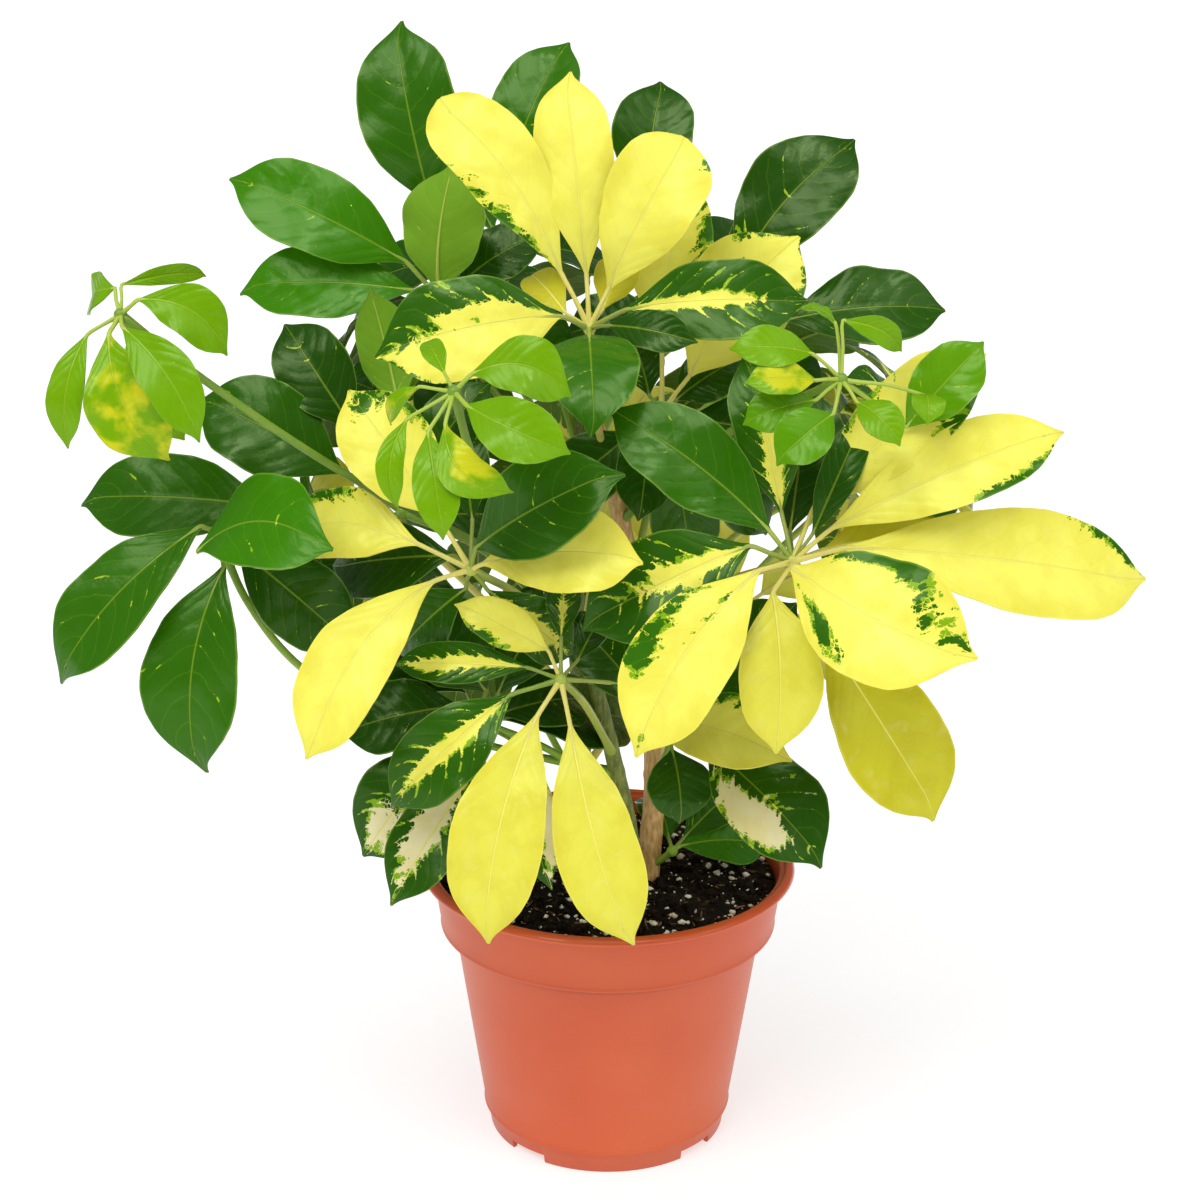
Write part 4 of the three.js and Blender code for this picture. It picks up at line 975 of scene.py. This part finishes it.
def turnProfile(name, profile, segments):
    # a circle extruded ring by ring, then closed at both ends
    radius, height = profile[0]
    bpy.ops.mesh.primitive_circle_add(vertices=segments, radius=radius * mm, fill_type="NGON",
                                      location=(0, 0, height * mm))
    piece = bpy.context.object
    piece.name = name
    bpy.ops.object.transform_apply(location=True)
    editAll()
    bpy.ops.mesh.region_to_loop()
    for nextRadius, nextHeight in profile[1:]:
        bpy.ops.mesh.extrude_edges_move()
        wider = nextRadius / radius
        bpy.ops.transform.resize(value=(wider, wider, 1), center_override=(0, 0, 0))
        bpy.ops.transform.translate(value=(0, 0, (nextHeight - height) * mm))
        radius, height = nextRadius, nextHeight
    bpy.ops.mesh.edge_face_add()
    bpy.ops.mesh.select_all(action="SELECT")
    closeEdit()
    return piece


def potMaterial(name, values):
    made, where = startOnPiece(name)
    broad = grain(where, 18.0)
    fine = grain(where, 700.0, 3.0)
    base = blend(step(broad, 0.3, 0.7), values["tone"], values["paleTone"])
    base = blend(times(fine, 0.1), base, values["fineTone"])
    height = addNode("SeparateXYZ", {"Vector": where}).outputs["Z"]
    # painted shade: darker just under the collar's overhang, and a little darker on the foot ring below the
    # body's lower edge
    start, full, end, clear = values["collarPaintedShade"]
    paintedShade = times(step(height, start, full), step(height, end, clear))
    paintedShade = plus(paintedShade, step(height, *values["footPaintedShade"], 0, 0.15))
    base = blend(times(paintedShade, 0.75), base, values["paintedShadeTone"])
    polish = step(height, *values["polished"])
    rough = scaled(broad, 0.1, scaled(polish, -0.14, 0.34))
    finishMaterial(base, rough, bump(plus(fine, times(broad, 2.0)), 0.12, 0.0003))
    return made


def onCircle(holes, angle, height=0):
    reach = holes["circle"] / 2 * mm
    return math.cos(angle) * reach, math.sin(angle) * reach, height * mm


def makePot(values):
    piece = turnProfile("pot_shell", values["profile"], values["segments"])
    notches = values["notches"]
    for k in range(notches["count"]):
        angle = math.radians(notches["turn"] + k * 360 / notches["count"])
        bpy.ops.mesh.primitive_cube_add(size=1, location=onCircle(notches, angle), rotation=(0, 0, angle))
        cutter = bpy.context.object
        cutter.scale = (notches["depth"] * mm, notches["width"] * mm, notches["height"] * 2 * mm)
        bpy.ops.object.transform_apply(location=True, rotation=True, scale=True)
        cutAway(piece, cutter)
    drains = values["drains"]
    for k in range(drains["count"]):
        angle = (k + 0.5) * 2 * math.pi / drains["count"]
        bpy.ops.mesh.primitive_cylinder_add(vertices=32, radius=drains["diameter"] / 2 * mm,
                                            depth=drains["depth"] * mm,
                                            location=onCircle(drains, angle, drains["height"]))
        bpy.ops.object.transform_apply(location=True)
        cutAway(piece, bpy.context.object)
    piece.data.materials.append(potMaterial("terracottaPlastic", values))
    selectOnly(piece)
    bpy.ops.object.shade_smooth_by_angle(angle=math.radians(values["smooth"]))
    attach(piece, "root")
    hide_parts("pot")
    return piece


makePot(potValues)
print("pot made")


soilValues = {
    "segments": 160, "rings": 44, "seed": 21,
    "under": [(4, 4.9), (39.2, 4.9), (41.6, 8.4), (51.9, 78.2), (52.3, 80), (56, 80.9), (56.5, 82),
              (58.4, 92.6)],
    "edge": 58.4, "edgeHeight": 93.5, "crown": 2.6,
    "flat": 93,  # height of the top before its relief, with a small hole of this radius in its middle
    "middle": 1.5,
    "relief": [(1.3, 0.10, 3), (0.9, 0.28, 7)],  # depth in mm, scale and seed
    "lumps": (0.8, 0.7, 11),
    "edgeDip": (1.6, 0.93),  # depth in mm and the share of the radius where it starts
    "reach": 57.2,
    "grains": {
        "soil_perlite": {"count": 760, "sizes": (0.3, 1.45), "stretch": 1.6, "sunk": 0.35},
        "soil_crumbs": {"count": 640, "sizes": (0.9, 3.4), "stretch": 1.3, "sunk": 0.1},
        "soil_fibres": {"count": 320, "sizes": (0.25, 0.6), "stretch": 5.5, "sunk": 0.6},
    },
}


def soilHeight(x, y, values):
    # mm above the base at a place in mm
    away = math.hypot(x, y) / values["edge"]
    height = values["edgeHeight"] + values["crown"] * (1 - away ** 2)
    for depth, scale, seed in values["relief"]:
        height += depth * noise.noise(Vector((x * scale, y * scale, seed)))
    depth, scale, seed = values["lumps"]
    height += depth * abs(noise.noise(Vector((x * scale, y * scale, seed))))
    dip, dipFrom = values["edgeDip"]
    return height - dip * max(0, away - dipFrom) / (1 - dipFrom)


def earthMaterial(name):
    made, where = startOnPiece(name)
    clods = grain(where, 420.0, 5.0, 0.65)
    damp = grain(where, 60.0)
    fibres = cellPattern(where, 700.0)["Distance"]
    base = ramp(clods, [(0.3, "#060302"), (0.55, "#1a0e07"), (0.74, "#5c3a1c")])
    base = blend(times(damp, 0.4), base, "#120a06")
    height = plus(clods, times(fibres, 0.6))
    finishMaterial(base, scaled(damp, 0.25, 0.62), bump(height, 1.0, 0.0012), {"Specular IOR Level": 0.2})
    return made


def perliteMaterial(name):
    made, where = startOnPiece(name)
    pits = grain(where, 1800.0, 3.0)
    base = blend(step(grain(where, 160.0), 0.5, 0.8), "#fff8e6", "#dcc69c")
    finishMaterial(base, scaled(pits, 0.2, 0.6), bump(pits, 0.8, 0.0006))
    return made


def fibreMaterial(name):
    made, where = startOnPiece(name)
    finishMaterial(ramp(grain(where, 300.0, 3.0), [(0.35, "#33200f"), (0.65, "#8a6640")]), 0.8)
    return made


def makeSoil(values):
    shares = [k / values["rings"] for k in range(1, values["rings"] + 1)]
    top = [(values["edge"] * (1 - share) + values["middle"] * share, values["flat"]) for share in shares]
    piece = turnProfile("soil_bed", values["under"] + top, values["segments"])
    for vertex in piece.data.vertices:
        x, y, z = vertex.co / mm
        if z > values["flat"] - 0.2:
            vertex.co.z = soilHeight(x, y, values) * mm
    piece.data.materials.append(earthMaterial("pottingEarth"))
    selectOnly(piece)
    bpy.ops.object.shade_smooth()
    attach(piece, "root")
    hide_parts("soil")
    return piece


def makeGrain(stretch, draws):
    # a lump of 24 faces, 1 mm across
    bpy.ops.mesh.primitive_cube_add(size=1)
    lump = bpy.context.object
    editAll()
    bpy.ops.mesh.subdivide(number_cuts=1)
    bpy.ops.transform.tosphere(value=0.85)
    bpy.ops.object.mode_set(mode="OBJECT")
    turn = Matrix.Rotation(draws.uniform(0, 6.28), 4, "Z") @ Matrix.Rotation(draws.uniform(0, 6.28), 4, "X")
    for vertex in lump.data.vertices:
        vertex.co *= draws.uniform(0.65, 1.3)
        x, y, z = vertex.co
        vertex.co = turn @ Vector((x * stretch, y, z * draws.uniform(0.9, 1.0))) * mm
    return lump


def scatterGrains(name, grains, material, draws, values):
    models = [makeGrain(grains["stretch"], draws) for k in range(6)]
    small, large = grains["sizes"]
    copies = []
    for k in range(grains["count"]):
        copyMesh = draws.choice(models).data.copy()
        reach = values["reach"] * math.sqrt(draws.random())
        angle = draws.uniform(0, fullTurn)
        x, y = reach * math.cos(angle), reach * math.sin(angle)
        size = small + (large - small) * draws.random() ** 2.2
        place = Matrix.Translation(Vector((x, y, soilHeight(x, y, values) + size * grains["sunk"])) * mm)
        turn = Matrix.Rotation(draws.uniform(0, 6.28), 4, "Z")
        turn @= Matrix.Rotation(draws.uniform(-0.5, 0.5), 4, "Y")
        copyMesh.transform(place @ turn @ Matrix.Scale(size, 4))
        piece = bpy.data.objects.new(f"{name}{k}", copyMesh)
        bpy.context.collection.objects.link(piece)
        copies.append(piece)
    for model in models:
        bpy.data.objects.remove(model)
    piece = joinAll(copies, name)
    piece.data.materials.append(material)
    bpy.ops.object.shade_smooth()
    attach(piece, "root")
    return piece


makeSoil(soilValues)
soilDraws = random.Random(soilValues["seed"])
grainSkins = (perliteMaterial("perlite"), bpy.data.materials["pottingEarth"], fibreMaterial("rootFibre"))
for (grainName, grains), skin in zip(soilValues["grains"].items(), grainSkins):
    scatterGrains(grainName, grains, skin, soilDraws, soilValues)
print("soil made")


roomValues = {
    "floor": 24,
    "paper": ((0.54, 0.54, 0.54, 1), (0.56, 0.56, 0.56, 1)),
    "floorGlow": 0.56,
    "sky": {"seen": 1.0, "diffuse": 0.56, "glossy": 0.2},
    "key": {"turn": (38, 0, -32), "strength": 1.36, "spread": 32},
    "fill": {"turn": (52, 0, 58), "strength": 0.55, "spread": 45},
    "top": {"turn": (18, 0, 0), "strength": 0.5, "spread": 60},
    "sheen": {"turn": (26, 0, 20), "strength": 0.7, "spread": 18},
}


def makeFloor(values):
    bpy.ops.mesh.primitive_plane_add(size=values["floor"], location=(0, 0, -0.0002))
    floor = bpy.context.object
    floor.name = "floor"
    bpy.ops.object.transform_apply(location=True)
    made, where = startOnPiece("palePaper")
    glow = {"Emission Color": (1, 1, 1, 1), "Emission Strength": values["floorGlow"]}
    finishMaterial(blend(grain(where, 3.0), *values["paper"]), 0.9, None, glow)
    floor.data.materials.append(made)


def makeLights(values):
    for name in ("key", "fill", "top", "sheen"):
        light = values[name]
        bpy.ops.object.light_add(type="SUN", rotation=[math.radians(a) for a in light["turn"]])
        lamp = bpy.context.object
        lamp.name = name + "Light"
        lamp.data.energy = light["strength"]
        lamp.data.angle = math.radians(light["spread"])
        lamp.visible_diffuse = name != "sheen"  # that one only makes the gloss


def makeSky(sky):
    # one brightness where the camera sees it, one that lights the plant and one for the gloss
    world = bpy.data.worlds.new("studio")
    world.use_nodes = True
    current["tree"] = world.node_tree
    path = addNode("LightPath").outputs
    glossy = scaled(path["Is Glossy Ray"], sky["glossy"] - sky["diffuse"], sky["diffuse"])
    seen = times(path["Is Camera Ray"], sky["seen"] - sky["diffuse"])
    back = world.node_tree.nodes["Background"]
    back.inputs["Color"].default_value = (1, 1, 1, 1)
    world.node_tree.links.new(plus(glossy, seen), back.inputs["Strength"])
    bpy.context.scene.world = world
    bpy.context.scene.view_settings.view_transform = "Standard"


makeFloor(roomValues)
makeLights(roomValues)
makeSky(roomValues["sky"])
print("floor and light made")
